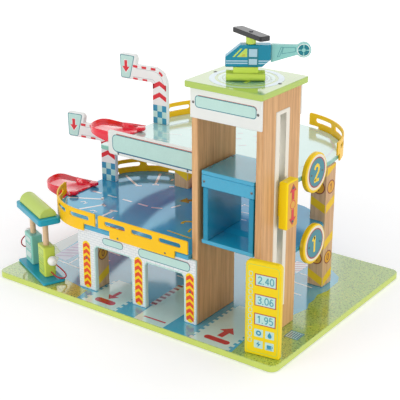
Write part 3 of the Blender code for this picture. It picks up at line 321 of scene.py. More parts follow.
def arc(centre, radius, start, end, sides):
    angles = [radians(start + (end - start) * i / sides) for i in range(sides + 1)]
    return [(centre[0] + radius * cos(angle), centre[1] + radius * sin(angle)) for angle in angles]


def rounded_box(x0, y0, x1, y1, radius):
    if radius <= 0:
        return [(x0, y0), (x1, y0), (x1, y1), (x0, y1)]
    r = min(radius, (x1 - x0) / 2 - 0.01, (y1 - y0) / 2 - 0.01)
    return (arc((x1 - r, y0 + r), r, -90, 0, 6) + arc((x1 - r, y1 - r), r, 0, 90, 6)
            + arc((x0 + r, y1 - r), r, 90, 180, 6) + arc((x0 + r, y0 + r), r, 180, 270, 6))


def rounded_quad(corners, radius):
    points = []
    for i, corner in enumerate(corners):
        corner = Vector(corner)
        a, b = (corner + (Vector(corners[k % 4]) - corner).normalized() * radius for k in (i - 1, i + 1))
        for step in range(6):
            t = step / 5
            points.append(tuple(a * (1 - t) ** 2 + corner * 2 * t * (1 - t) + b * t ** 2))
    return points


def edges_of_line(points, width, closed):
    """The two sides of a strip at each of its points, mitred at the corners."""
    points = [Vector(p) for p in points]
    last = len(points) - 1
    sides = []
    for i, point in enumerate(points):
        ways = []
        if closed or i > 0:
            ways.append(point - points[i - 1])
        if closed or i < last:
            ways.append(points[(i + 1) % len(points)] - point)
        ways = [way.normalized() for way in ways if way.length > 1e-6]
        way = sum(ways, Vector((0, 0))).normalized()
        across = Vector((-way.y, way.x))
        reach = width / 2 / max(0.5, abs(way.dot(ways[0])))
        sides.append((tuple(point + across * reach), tuple(point - across * reach)))
    return sides


class Print:
    """Coloured shapes on one flat face of a body, in millimetres along the face's own right and up."""

    def __init__(self, name, body, origin, right, up, gloss="satin", mirror=1):
        self.name, self.body, self.gloss, self.mirror = "print_" + name, body, gloss, mirror
        right, up = Vector(right), Vector(up)
        self.place = Matrix((right, up, right.cross(up))).transposed().to_4x4()
        self.place.translation = Vector(origin) * MM
        self.faces = []

    def shape(self, colour, points, layer=0):
        self.faces.append((colour, [(x * self.mirror * MM, y * MM) for x, y in points], layer))

    def rect(self, colour, x0, y0, x1, y1, layer=0, radius=0):
        self.shape(colour, rounded_box(x0, y0, x1, y1, radius), layer)

    def line(self, colour, points, width, layer=0, closed=False):
        """Strip of even width through the points."""
        sides = edges_of_line(points, width, closed)
        for near, far in zip(sides, sides[1:] + (sides[:1] if closed else [])):
            self.shape(colour, [near[0], near[1], far[1], far[0]], layer)

    def lines(self, colour, width, layer, *routes):
        for route in routes:
            self.line(colour, route, width, layer)

    def border(self, colour, x0, y0, x1, y1, width, radius=0, layer=0):
        self.line(colour, rounded_box(x0, y0, x1, y1, radius), width, layer, closed=True)

    def dashes(self, colour, start, end, width, dash, gap, layer):
        start, end = Vector(start), Vector(end)
        length = (end - start).length
        way = (end - start) / length
        run = 0
        while run < length - 0.5:
            self.line(colour, [start + way * run, start + way * min(run + dash, length)], width, layer)
            run += dash + gap

    def disc(self, colour, centre, radius, layer, sides):
        self.shape(colour, arc(centre, radius, 0, 360, sides)[:-1], layer)

    def ring(self, colour, centre, inner, outer, layer, sides, start=0, end=360):
        near, far = arc(centre, inner, start, end, sides), arc(centre, outer, start, end, sides)
        for i in range(sides):
            self.shape(colour, [near[i], far[i], far[i + 1], near[i + 1]], layer)

    def arrow(self, colour, tail, tip, shaft, head, reach, layer, grow=0):
        """Arrow from tail to tip; grow widens it all round, for a rim under another arrow."""
        tail, tip = Vector(tail), Vector(tip)
        way = (tip - tail).normalized()
        across = Vector((-way.y, way.x))
        tail, tip = tail - way * grow, tip + way * grow * 1.6
        neck = tip - way * (reach + grow)
        s, h = across * (shaft / 2 + grow), across * (head / 2 + grow * 1.2)
        self.shape(colour, (tail - s, neck - s, neck - h, tip, neck + h, neck + s, tail + s), layer)

    def chevron(self, colour, x, top, half, fall, thick, layer):
        """Upward-pointing V; top is its point, fall how far its arms drop."""
        self.shape(colour, [(x - half, top - fall), (x, top), (x + half, top - fall),
                            (x + half, top - fall - thick), (x, top - thick), (x - half, top - fall - thick)],
                   layer)

    def digits(self, colour, text, x, y, height, width, stroke, spacing, layer):
        for character in text:
            if character == ".":
                left = x - spacing * 0.1
                self.rect(colour, left, y - stroke / 2, left + stroke, y + stroke / 2, layer)
                x += spacing * 0.45
                continue
            for strokes in STROKES[character]:
                route = [(x + a * width, y + b * height / STROKE_HEIGHT) for a, b in strokes]
                self.line(colour, route, stroke, layer)
            x += spacing

    def done(self):
        bm = bmesh.new()
        names = sorted({colour for colour, _, _ in self.faces})
        for colour, points, layer in self.faces:
            depth = PRINT_LIFT + layer * LAYER_RISE
            face = bm.faces.new([bm.verts.new(self.place @ Vector((x, y, depth))) for x, y in points])
            face.material_index = names.index(colour)
            face.normal_update()
            if face.normal.dot(self.place.col[2].xyz) < 0:
                face.normal_flip()
        mesh = mesh_from(bm, self.name, *(ink(colour, self.gloss) for colour in names))
        add_object(self.name, mesh, self.body)


def board_print(name, top):
    return Print(name, "garage", (0, 0, top), RIGHT, BACK, "varnish")


def panel_print(name, front):
    return Print(name, "garage", (0, front, 0), RIGHT, UP)


def local_place(x, y, z, degrees):
    """Matrix of a turned item from its place in millimetres."""
    return Matrix.Translation(Vector((x, y, z)) * MM) @ Matrix.Rotation(radians(degrees), 4, "Z")


def turned_print(name, body, place, depth, side=1):
    """Print on a face of an item that has its own place; side is -1 for its back, which mirrors its front."""
    origin = place @ Vector((0, depth * MM, 0)) / MM
    return Print(name, body, origin, place.to_3x3() @ Vector((side, 0, 0)), UP, mirror=side)


# Curves through given points

def between(a, b, c, d, t):
    """Value of a smooth curve between b and c, which also passes through a and d."""
    square, cube = 2 * a - 5 * b + 4 * c - d, 3 * b - a - 3 * c + d
    return (2 * b + (c - a) * t + square * t ** 2 + cube * t ** 3) / 2


def smooth_route(points, spacing):
    """Even points along a smooth curve through the route's own points, and the curve's length."""
    nodes = [2 * points[0] - points[1], *points, 2 * points[-1] - points[-2]]
    groups = zip(nodes, nodes[1:], nodes[2:], nodes[3:])
    fine = [between(*group, i / 20) for group in groups for i in range(20)]
    fine.append(points[-1])
    lengths = [0.0]
    for first, second in zip(fine, fine[1:]):
        lengths.append(lengths[-1] + (second - first).length)
    count = max(8, round(lengths[-1] / spacing))
    route, index = [], 0
    for i in range(count + 1):
        wanted = lengths[-1] * i / count
        while index < len(fine) - 2 and lengths[index + 1] < wanted:
            index += 1
        part = (wanted - lengths[index]) / max(lengths[index + 1] - lengths[index], 1e-9)
        route.append(fine[index].lerp(fine[index + 1], min(part, 1.0)))
    return route, lengths[-1]


# Petrol station hoses, in millimetres from the station's own place

STATION = local_place(-233.3, -171.1, BASE_TOP + SEAT, -24.6)
HOSE_DIAMETER = 0.0024
HOSE_ROUTES = {
    "right": [(40, 3.5, 13.5), (45, 4.5, 12), (50.5, 7, 9.2), (56, 11.8, 6.8), (59.8, 18, 6.2),
              (60, 23.2, 8.5), (58.2, 23.2, 13.5), (56.2, 19.5, 19.5), (54.5, 14, 26.2), (52.5, 8.7, 32)],
    "left": [(-56.2, -2, 26.2), (-59.5, -3, 26.2), (-61.5, -6.5, 26.8), (-62.5, -10.5, 29.2),
             (-63.2, -12.8, 34), (-63.8, -12.2, 39.5), (-64.1, -8.5, 44.4), (-64.1, -4.2, 47.4)],
}


def add_hose(side, points):
    route, length = smooth_route([STATION @ (Vector(p) * MM) for p in points], 0.0013)
    curve = bpy.data.curves.new("hose_" + side, "CURVE")
    curve.dimensions = "3D"
    curve.bevel_depth = HOSE_DIAMETER / 2
    curve.bevel_resolution = 5
    curve.use_fill_caps = True
    spline = curve.splines.new("POLY")
    spline.points.add(len(route) - 1)
    for point, place in zip(spline.points, route):
        point.co = (*place, 1)
    curve.materials.append(braided_cord("hose_cord_" + side, (206, 16, 42)))
    item = add_object("hose_" + side, curve, "petrol_station")
    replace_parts(item, "station_hose_" + side)


for hose_side, hose_points in HOSE_ROUTES.items():
    add_hose(hose_side, hose_points)


# Floor, world and lamps, in metres

FLOOR_SIZE = 14
FLOOR_LEVEL = -0.0006


def add_floor():
    """Pale floor that is white far from the toy and keeps the toy's shadow."""
    bpy.ops.mesh.primitive_plane_add(size=FLOOR_SIZE, location=(0, 0, FLOOR_LEVEL))
    floor = bpy.context.object
    floor.name = "floor"
    look = Look("floor")
    look.tree.nodes.remove(look.tree.nodes["Principled BSDF"])
    distance = look.vector_math("LENGTH", look.place, (0, 0, 0))["Value"]
    sweep = look.node("BsdfDiffuse", {"Color": (0.86, 0.86, 0.86, 1)})[0]
    strength = look.remap(distance, 0.35, 1.9, 0.30, 0.66)
    glow = look.node("Emission", {"Color": (1, 1, 1, 1), "Strength": strength})[0]
    both = look.node("AddShader", {0: sweep, 1: glow})[0]
    choice = look.node("MixShader", {0: look.seen("Camera", "Glossy"), 1: sweep, 2: both})
    look.connect(look.tree.nodes["Material Output"], {"Surface": choice[0]})
    floor.data.materials.append(look.block)


def add_world():
    look = Look("studio", "worlds")
    scene.world = look.block
    strength = look.remap(look.seen("Camera", "Glossy", "Transmission"), 0, 1, 0.52, 1.0)
    look.connect(look.tree.nodes["Background"], {"Strength": strength, "Color": (1, 1, 1, 1)})


def add_lamp(name, at, target, width, height, power):
    data = bpy.data.lights.new(name, "AREA")
    data.shape = "RECTANGLE"
    data.size, data.size_y, data.energy = width, height, power
    aim(add_object(name, data), at, Vector(target) - Vector(at))


add_floor()
add_world()
add_lamp("key", (-1.1, -2.7, 1.5), (0, 0, 0.18), 1.6, 1.4, 12)
add_lamp("low", (-0.7, -2.8, 0.36), (0, 0, 0.18), 2.2, 0.5, 20)
add_lamp("fill", (2.5, -0.1, 0.45), (0, 0, 0.18), 1.6, 0.7, 18)
add_lamp("top", (0.2, 0.3, 2.8), (0, 0, 0.2), 1.8, 1.8, 17)
add_lamp("window", (-1.9, 2.2, 0.9), (-0.1, 0, 0.14), 1.8, 1.2, 2.5)


# Materials of the solids

def dress(material, *families):
    """Give a material to every solid whose name starts with one of these; the last call counts."""
    for name, item in NODES.items():
        if name.startswith(families):
            item.data.materials.clear()
            item.data.materials.append(material)


dress(speckled_grass("grass_board"), "base_plate")
dress(paint("roof_board", (178, 204, 90), 0.12, 1.0, top=(160, 192, 92), coat_index=1.7), "roof_plate")
DECK_1 = paint("deck_1_board", (40, 152, 190), 0.10, 0.0, top=(64, 176, 216), under=(226, 232, 236))
DECK_1_GLOSS = {"IOR": 2.4, "Specular IOR Level": 0.5, "Specular Tint": linear((186, 234, 255))}
for socket, setting in DECK_1_GLOSS.items():
    DECK_1.node_tree.nodes["Principled BSDF"].inputs[socket].default_value = setting
dress(DECK_1, "deck_1")
# Deck 2's lower face gets a light blue: painted light, brightening that face where it lies in shade over deck
# 1, so that it and its reflection in deck 1 look bluish
dress(paint("deck_2_board", (132, 190, 172), 0.10, 1.0, top=(182, 224, 216), under=(150, 184, 240),
            coat_index=BOARD_INDEX), "deck_2")
dress(wood("tower_wood", (228, 178, 122), (194, 142, 92)), "tower_wall")
dress(wood("column_wood", (230, 190, 146), (198, 152, 108)), "column")
dress(brick_white("brick_front"), "facade_panel")
dress(paint("white_board", (234, 236, 232), 0.32, 0.2, mottling=0.015), "tower_header", "sign_panel")
dress(paint("slot_cream", (238, 232, 218), 0.36, 0.15, mottling=0.015), "slot_track")
dress(paint("post_white", (238, 240, 238), 0.32, 0.2, mottling=0.015), "exit_post")
dress(paint("rail_yellow", (255, 200, 2), 0.34, 0.05), "rail")
dress(paint("totem_yellow", (246, 214, 0), 0.36, 0.05), "price_totem")
dress(paint("disc_yellow", (250, 208, 0), 0.36, 0.05), "disc")
dress(paint("slider_yellow", (255, 222, 0), 0.34, 0.05), "lift_slider")
CHUTE_RED = plastic("chute_red", (236, 0, 44))
dress(CHUTE_RED, "chute", "knob")
dress(paint("lift_cyan", (16, 162, 200), 0.20, 0.8, top=(34, 182, 220), coat_index=1.6), "lift_roof",
      "lift_floor", "lift_header")
# The cabin walls get a darker copy of the cabin's cyan: painted shade for their faces inside the cabin
dress(paint("lift_cyan_shaded_inside", (0, 140, 176), 0.24, 0.3), "lift_wall")
dress(paint("heli_teal", (0, 134, 162), 0.24, 0.1, top=(0, 146, 176)), "heli_body")
dress(paint("heli_mint", (142, 204, 198), 0.30, 0.2), "heli_tail_boom")
dress(paint("skid_lime", (198, 222, 84), 0.30, 0.2), "heli_skid", "heli_rotor_hub")
dress(paint("rotor_black", (10, 10, 14), 0.24, 0.1), "heli_rotor_bar")
dress(steel("rotor_screw_steel"), "heli_rotor_screw")
dress(paint("station_blue", (20, 160, 188), 0.32, 0.2), "station_base", "station_canopy")
dress(paint("pump_mint", (140, 210, 196), 0.36, 0.2), "station_pump_left")
dress(paint("pump_lime", (206, 222, 84), 0.36, 0.2), "station_pump_right")
dress(paint("canopy_lime", (190, 212, 104), 0.40, 0.15), "station_canopy_top")
dress(wood("dowel_wood", (240, 206, 168), (222, 184, 142), streak=260), "station_dowel")
dress(paint("bead_white", (246, 244, 238), 0.30, 0.3), "station_nozzle")


# Car chutes, smoother than the solids they stand for

CHUTE_WALL, CHUTE_FLOOR, CHUTE_RISE, CHUTE_RIM, CHUTE_SKIRT = 2.3, 1.8, 2.3, 10.5, 2
CHUTE_REACH, CHUTE_INSIDE = 73.9, 20
# Parts of the fall that grow with the run, with its square and with its sixth power
CHUTE_FALL = (1.28, -0.10, -0.18)
# Deck edge, mouth, levels of deck and ground, end of the straight, radius and angle of the bend, reach
CHUTES = {"chute_lower": (-236, -60, DECK_1_TOP, BASE_TOP, 10, 160, 90, 1),
          "chute_upper": (-158, -12.5, DECK_2_TOP, DECK_1_TOP, 66, 86.5, 180, 1.08)}
# Each line: places of the outer and inner wall, the floor's dip, rim heights and skirt depths of both
CHUTE_HEAD = [
    (-14, -33.5, -14, 33.5, 0, 0.4, 0.4, 0.2, 0.2), (-11, -36.4, -11, 36.4, 0, 0.4, 0.4, 0.2, 0.2),
    (-5.6, -36.4, -5.6, 36.4, 0, 0.4, 0.4, 0.2, 0.2), (-4.4, -32.8, -4.4, 32.8, 0, 1.4, 1.4, 0.2, 0.2),
    (0.3, -31, 0.3, 29.8, 0, 3.6, 3.8, 0.2, 0.2), (0.9, -31, 0.9, 29.5, 0, 3.9, 4.2, 11.5, 5.4),
    (10, -32.2, 9, 24.8, 0, 7.6, 9, 10.8, 5), (20, -32.4, 16.5, 21.8, 0, 8.6, 10, 8.8, 4.4),
    (32, -31.8, 19.2, 20.8, 0, 8.4, 10, 6.4, 4), (44, -29.4, 20.2, 21.2, 0, 8, 10, 4.4, 3.8),
    (55, -24.4, 20.8, 22, 0, 7.6, 10, 2.8, 3.4), (64.5, -16, 21.1, 23, 0, 7.2, 10, 1.6, 3),
    (70.5, -5, 21.2, 24, 0.1, 7.2, 10, 1.1, 2.6), (73.4, 8, 21.2, 25, 0.5, 7.6, 10, 1, 2.4),
    (73.9, 20, 21.2, 26, 1.5, 8.4, 10, 1.1, 2.2)]
CHUTE_HEAD_LENGTH, CHUTE_FIRST_BEND = 24, 5


def chute_lines(name):
    """Sections of a chute along its run: outer and inner wall, floor, rims and skirts, in millimetres."""
    edge_x, mouth_y, deck_top, ground, straight_end, radius, sweep, reach = CHUTES[name]
    floor = deck_top + CHUTE_RISE
    lines = []
    for out, y, inner_out, inner_y, dip, *rest in CHUTE_HEAD:
        out *= reach if out > 30 else 1
        lines.append((edge_x - out, mouth_y + y, edge_x - inner_out, mouth_y + inner_y, floor - dip, *rest))
    start = mouth_y + CHUTE_HEAD_LENGTH
    outer_x, inner_x = edge_x - CHUTE_REACH, edge_x - CHUTE_INSIDE
    straight = straight_end - start
    total = straight + radius * radians(sweep)

    def level(run):
        part = run / total
        fall = sum(share * part ** power for share, power in zip(CHUTE_FALL, (1, 2, 6)))
        return floor - (deck_top - ground) * fall

    usual = (CHUTE_RIM, CHUTE_SKIRT, CHUTE_SKIRT)
    for run, dip, rim in ((8, 0.7, 9.2), (20, 0, 10.2), (straight * 0.7, 0, CHUTE_RIM),
                          (straight, 0, CHUTE_RIM)):
        x = outer_x - CHUTE_REACH * (reach - 1) * (1 - run / straight)
        lines.append((x, start + run, inner_x - 1, start + run, level(run) - dip, rim, *usual))
    middle_x, half = (outer_x + inner_x) / 2 + radius, (inner_x - outer_x) / 2
    steps = round(sweep / 7.5)
    for i in range(1, steps + 1):
        turned = radians(sweep * i / steps)
        height = level(straight + radius * turned)
        rim = CHUTE_RIM * min(1, 0.45 + (1 - i / steps) * 5)
        skirt = min(CHUTE_SKIRT, max(0.2, height - ground - CHUTE_RISE))
        walls = [value for r in (radius + half, radius - half)
                 for value in (middle_x - cos(turned) * r, straight_end + sin(turned) * r)]
        lines.append((*walls, height, rim, rim, skirt, skirt))
    return lines


def chute_section(line):
    """Round-topped walls on both sides of a floor, from the inner foot over to the outer one."""
    outer, inner = Vector(line[0:2]), Vector(line[2:4])
    floor, rim_out, rim_in, skirt_out, skirt_in = line[4:]
    across = outer - inner
    width = across.length
    across.normalize()
    wall, under = CHUTE_WALL, floor - CHUTE_FLOOR

    def side(rim, skirt):
        soft, fillet = min(0.9, rim * 0.5), min(1.6, rim * 0.4)
        top = floor + rim
        return [(0, under - skirt), (0, top - soft), (soft * 0.4, top - soft * 0.3), (wall * 0.5, top),
                (wall - soft * 0.4, top - soft * 0.3), (wall, top - soft), (wall, floor + fillet),
                (wall + fillet * 0.4, floor + fillet * 0.3), (wall + fillet, floor)]

    near = side(rim_in, skirt_in)
    far = [(width - t, z) for t, z in reversed(side(rim_out, skirt_out))]
    below = [(width - wall + 0.4, under - skirt_out), (width - wall + 0.4, under - 0.01),
             (wall - 0.4, under - 0.01), (wall - 0.4, under - skirt_in)]
    return [Vector((*(inner + across * t), z)) * MM for t, z in near + far + below]


def blend_lines(lines, first, parts):
    """More sections between the given ones on smooth curves, from the first one that may bend."""
    result = lines[:first]
    for k in range(first, len(lines) - 1):
        group = (lines[max(k - 1, first)], lines[k], lines[k + 1], lines[min(k + 2, len(lines) - 1)])
        result += [[between(*values, step / parts) for values in zip(*group)] for step in range(parts)]
    return result + lines[-1:]


def add_chute(name):
    bm = bmesh.new()
    rings = [[bm.verts.new(point) for point in chute_section(line)]
             for line in blend_lines(chute_lines(name), CHUTE_FIRST_BEND, 4)]
    for near, far in zip(rings, rings[1:]):
        for i in range(len(near)):
            j = (i + 1) % len(near)
            bm.faces.new((near[i], far[i], far[j], near[j]))
    bm.faces.new(rings[0])
    bm.faces.new(reversed(rings[-1]))
    bmesh.ops.recalc_face_normals(bm, faces=bm.faces)
    mesh = mesh_from(bm, name + "_shell", CHUTE_RED)
    mesh.shade_smooth()
    mesh.set_sharp_from_angle(angle=radians(50))
    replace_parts(add_object(name + "_shell", mesh, "garage"), name)


for chute_name in CHUTES:
    add_chute(chute_name)


# Base board

BASE_FRONT = -214.6
ROAD = [
    (-108, BASE_FRONT), (-110, -200), (-113, -183), (-143, -176), (-176, -170), (-208, -157), (-231, -133),
    (-264, -88), (-272, -32), (-275, 20), (-270, 78), (-258, 128), (-236, 164), (-198, 186), (-100, 193),
    (0, 194), (100, 186), (170, 166), (203, 141), (222, 127), (231, 108), (232, 83), (234, 66), (227, 42),
    (232, 21), (232, 3), (240, -15), (235, -36), (233, -45), (226, -110), (214, -174), (219, BASE_FRONT)]


def toothed(art, x, side, end):
    """Row of small square teeth along a lane's side."""
    pitch, depth = 13.4, 5.4
    y = BASE_FRONT + 1.6
    while y + pitch / 2 <= end:
        art.rect("lane", min(x, x + side * depth), y, max(x, x + side * depth), y + pitch / 2, 1)
        y += pitch


def hatch(art, colour, corners, width, slope):
    """Slanting bars inside an upright box, as wide as the gaps between them."""
    x0, y0, x1, y1 = corners
    rise = (x1 - x0) * slope
    y = y0 - rise
    while y < y1:
        if min(y + rise + width, y1) - max(y, y0) > width:
            sides = []
            for level in (y, y + width):
                ends = [min(max(x0 + (edge - level) / slope, x0), x1) for edge in (y0, y1)]
                sides.append([(x, level + (x - x0) * slope) for x in ends])
            art.shape(colour, sides[0] + sides[1][::-1], 2)
        y += width * 2


art = board_print("base", BASE_TOP)
art.shape("road", ROAD)
art.shape("pale", [(-299, -66), (-264, -86), (-272, -32), (-275, 20), (-270, 78), (-299, 92)], 1)
for x0, x1, end in ((-93, -26, -118), (139, 207, -73)):
    art.rect("lane", x0, BASE_FRONT, x1, end, 1)
    toothed(art, x0, -1, end)
    toothed(art, x1, 1, end)
art.shape("lane", [(20, BASE_FRONT), (81, BASE_FRONT), (81, -65), (11, -65)], 1)
art.line("white", [(15.6, -158), (11.8, -70)], 11.6, 2)
art.dashes("maroon", (15.6, -156), (11.8, -70), 11.4, 6.6, 6.8, 3)
art.line("crimson", [(30, -199), (75, -198)], 4.0, 2)
art.rect("crimson", -80.5, -203.2, -37.5, -188.8, 2, 7.2)
art.rect("crimson", 152.5, -200.4, 201, -188.2, 2, 6)
art.arrow("crimson", (-59, -153), (-60, -185.5), 7.5, 23, 14, 2)
art.arrow("crimson", (174, -183), (177, -147.5), 11, 30, 17, 2)
art.shape("lilac", [(-262, -106), (-229, -112), (-229, -36), (-266, -36)], 1)
hatch(art, "violet", (-262, -106, -231, -38), 7.5, 0.55)
art.lines("white", 3.4, 2, [(-240, -118), (-182, -122)], [(-214, -117), (-217, -88)],
          [(-217, -88), (-160, -92)], [(-186, -122), (-188, -90)])
for y in (-60, -30, 0, 30):
    art.lines("white", 3.6, 2, [(-205, y), (-160, y - 4)], [(-20, y + 20), (30, y + 16)])
for y in (25, 62, 99):
    art.line("white", [(158, y), (205, y - 2)], 3.6, 2)
art.rect("white", 125, 97, 152, 141, 1)
hatch(art, "rose", (125, 97, 152, 141), 5.5, 0.8)
drain = (259, -120, 283, -96.5)
art.rect("mint", *drain, 1)
art.border("teal", *drain, 1.8, 0, 3)
for i in range(5):
    x = 262.5 + i * 4.2
    art.rect("navy", x, -117.5, x + 2.0, -99, 2)
art.disc("navy", (243, -15), 1.6, 2, 16)
art.done()


# Decks and roof

PARKING = [
    (-222, -102, -165, -72), (-171, -65, -164, -76), (-168, -133, -145, -90), (-151, -91, -139, -96),
    (-113, -135, -113, -104), (-120, -105, -105, -102), (-210, 49, -159, 20), (-160, 17, -151, 24),
    (-162, 96, -134, 44), (-138, 41, -127, 46), (-124, 87, -121, 77), (-105, 50, -98, 55),
    (-207, -51, -186, -51), (-171, -51, -150, -51), (-135, -51, -114, -51), (-99, -51, -77, -51),
    (-68, -52, -49, -44), (-38, -32, -32, -12)]
art = board_print("deck_1", DECK_1_TOP)
for x0, y0, x1, y1 in PARKING:
    art.line("white", [(x0, y0), (x1, y1)], 4.6, 1)
art.lines("white", 2.0, 1, [(-91, -137), (-94, -126)], [(-113, -152), (-99, -167)],
          [(-154, 102), (-141, 108)])
for x, y in ((-184, -105), (-142, -127)):
    art.ring("white", (x, y), 3.0, 5.4, 1, 12, 20, 200)
    art.line("white", [(x + 5, y - 4), (x + 8, y + 3)], 2.2, 1)
art.line("pale", [(-228, -85), (-222, -107), (-204, -130), (-185, -148), (-160, -162), (-130, -172),
                  (-118, -174)], 1.5, 1)
art.line("yellow", [(19, -118), (72, -122)], 3.6, 1)
art.line("yellow", [(22, -80), (19, -74), (21, -68), (29, -63), (40, -62)], 5.4, 1)
art.line("yellow", [(53, -103), (50, -96), (48, -88)], 4.0, 1)
art.arrow("rust", (-22, 26), (-46, 2), 10, 27, 17, 1)
art.line("white", [(-78, -164), (-31, -164)], 5.0, 1)
art.dashes("crimson", (-71, -164), (-31, -164), 4.8, 13, 6, 2)
art.lines("white", 2.2, 1, [(60, -20), (60, 60)], *([(60, y), (104, y + 8)] for y in (-10, 22, 54)))
art.done()

art = board_print("deck_2", DECK_2_TOP)
art.lines("rose", 2.2, 1, [(7, 112), (15, 118)], [(47, 56), (58, 64)], [(39, 115), (46, 118)],
          [(62, 88), (70, 93)], [(22, 84), (30, 90)])
art.line("sky", [(-121, 76), (-116, 98), (-109, 116), (-94, 140), (-72, 162)], 2.4, 1)
art.line("lilac", [(103, 212), (125, 208), (154, 187), (182, 157), (194, 135), (201, 108), (205, 70),
                   (205, 20)], 2.6, 1)
art.line("lilac", [(196, 20), (196, 70), (192, 104)], 1.4, 1)
art.lines("white", 2.2, 1, *([(-110, y), (-70, y + 14)] for y in (-10, 30, 70)))
art.done()

art = board_print("roof", ROOF_TOP)
centre = x, y = 176.3, -118.2
art.ring("sky", centre, 49, 58, 1, 64)
art.disc("aqua", centre, 44, 0, 64)
art.disc("mint", centre, 41, 1, 56)
art.ring("green", centre, 36, 38.5, 2, 56)
art.disc("teal", centre, 33, 2, 48)
art.lines("lime", 6, 3, *([(x + offset, y - 26), (x + offset, y + 26)] for offset in (-13, 13)))
art.rect("lime", x - 10, y - 3, x + 10, y + 3, 3)
art.done()


# White front, tower headers and long sign

def plaque(art, x0, z0, x1, z1, radius, line):
    """Bare mint plaque with a double outline."""
    art.rect("plaque", x0, z0, x1, z1, 0, radius)
    art.border("teal", x0, z0, x1, z1, line, radius, 1)
    art.line("brick", [(x0 + radius, z1 + line * 0.9), (x1 - radius, z1 + line * 0.9)], line * 0.6, 2)
    art.line("brick", arc((x1 - radius, z1 - radius), radius + line * 0.9, 90, 0, 6), line * 0.6, 2)


art = panel_print("facade", PANEL_FRONT)
for x in (-115.7, 0.8, 109.3):
    art.rect("yellow", x - 8.6, 14, x + 8.6, 104.5, 0, 8.6)
    for i in range(7):
        art.chevron("orange", x, 101.6 - i * 12.2, 7.4, 5.4, 7.2, 1)
for x0, x1 in ((-96, -14), (15.5, 97)):
    art.line("aqua", [(x0 - 1.3, 13), (x0 - 1.3, 94), (x0 + 4, 100.1), (x1 - 4, 100.1), (x1 + 1.3, 94),
                      (x1 + 1.3, 13)], 2.2)
plaque(art, -77.5, 108.3, -32.5, 120.2, 5.9, 1.1)
plaque(art, 2, 106.3, 109, 121.5, 6.5, 1.2)
art.done()

for name, end, side in (("front", 0, 1), ("rear", 1, -1)):
    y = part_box("tower_header_" + name)[end][1] / MM
    art = Print("header_" + name, "garage", (0, y, 0), (side, 0, 0), UP)
    x0, x1 = sorted((121 * side, 232 * side))
    plaque(art, x0, 390, x1, 408, 5, 1.3)
    art.done()

art = panel_print("sign", SIGN_FRONT)
x0, x1, z0, z1, r = -123.5, 101, 245, 275.5, 9
art.rect("plaque", x0, z0, x1, z1, 0, r)
art.border("teal", x0, z0, x1, z1, 1.4, r, 1)
art.line("brick", [(x0 + r, z1 + 1.6), (x1 - r, z1 + 1.6)], 1.5, 2)
art.line("navy", [(x0 + r, z0 - 1.0), (x1 - r, z0 - 1.0)], 1.5, 2)
art.done()


# Signposts

POST_DEPTH = 9.7
POSTS = {"1": local_place(-233.2, 5.1, DECK_1_TOP + SEAT, 8),
         "2": local_place(-157.2, 69.5, DECK_2_TOP + SEAT, 4)}


def rimmed_arrow(art, rim, tail, tip, sizes, layer, grow):
    """Red arrow on a slightly larger one in another colour."""
    art.arrow(rim, tail, tip, *sizes, layer, grow)
    art.arrow("red", tail, tip, *sizes, layer + 1)


def print_post(number, place, face, depth, side):
    """Both faces carry the same print, each a mirror image of the other."""
    art = turned_print("post_%s_%s" % (number, face), "garage", place, depth, side)
    for column in range(3):
        for row in range(3):
            x0, x1 = max(0.9, column * 10.5), min(30.6, column * 10.5 + 10.5)
            art.rect("aqua" if (column + row) % 2 else "blue", x0, 0.8 + row * 12, x1, 12.8 + row * 12)
    for top in (62, 83.5):
        art.chevron("red", 15.75, top, 14.9, 8.2, 9, 1)
    art.line("red", arc((0.5, 76.5), 28, 58, 38, 3), 4.8, 1)
    for x0, z0, x1, z1 in ((-43.5, 101.8, -33, 106.6), (-23.8, 101.8, -13.3, 106.6), (-3, 101.8, 7.5, 106.6),
                           (-43.5, 78.9, -33, 82.6), (-22, 78.9, -11.5, 82.6), (0.9, 68, 4.2, 77),
                           (27.6, 66, 30.7, 77)):
        art.rect("red", x0, z0, x1, z1, 1)
    art.lines("ash", 0.8, 0, [(-37, 100.6), (0, 100.6)] + arc((0.5, 76.5), 24, 88, 2, 8) + [(24.6, 70)],
              [(-44, 84.2), (0, 84.2), (4, 82.6), (6.2, 78), (6.4, 70)])
    art.shape("teal", rounded_quad([(-71.5, 79.4), (-50.8, 79.4), (-39.6, 123.8), (-72.6, 123.8)], 4), 1)
    art.shape("aqua", rounded_quad([(-70.4, 80.6), (-51.8, 80.6), (-41.4, 122.6), (-71.4, 122.6)], 3.4), 2)
    rimmed_arrow(art, "white", (-59.6, 113.5), (-59.6, 90.5), (6.4, 16.5, 11), 3, 1.0)
    art.done()


for post_number, post_place in POSTS.items():
    print_post(post_number, post_place, "front", 0, 1)
    print_post(post_number, post_place, "back", POST_DEPTH, -1)


# Number board

art = turned_print("totem", "garage", local_place(235.2, -202.4, BASE_TOP + SEAT, 8.5), 0)
art.border("lime", 3.2, 5.5, 56.3, 156, 0.9, 5.5)
for z, number in ((121.4, "2.40"), (87.0, "3.06"), (54.0, "1.95")):
    art.rect("brick", 16.2, z, 52.8, z + 20.6, 1)
    art.rect("aqua", 17.9, z + 1.6, 51.1, z + 19, 2)
    art.digits("digit", number, 22, z + 4.6, 11.4, 5.6, 1.9, 8.2, 3)
for i in range(12):
    z = 22 + i * 10.4
    art.border("mint", 6.4, z, 12.2, z + 7.2, 1.1, 1.2, 1)
for x, z in ((16.8, 33.2), (35.6, 33.2), (16.8, 13.4), (35.6, 13.4)):
    art.rect("aqua", x, z, x + 15, z + 13.6, 1, 1)
art.ring("blue", (24.3, 40), 2.0, 4.6, 2, 24)
art.shape("blue", [(43.1, 45.4), (39.9, 40.2), (39.6, 37.8), (41.2, 35.4), (43.1, 34.8), (45.0, 35.4),
                   (46.6, 37.8), (46.3, 40.2)], 2)
art.shape("blue", [(24.8, 25.6), (20.4, 19.6), (23.8, 19.6), (22.6, 14.8), (28.2, 21.2),
                   (24.8, 21.2)], 2)
art.rect("blue", 38.8, 16.2, 46.2, 22.6, 2, 0.8)
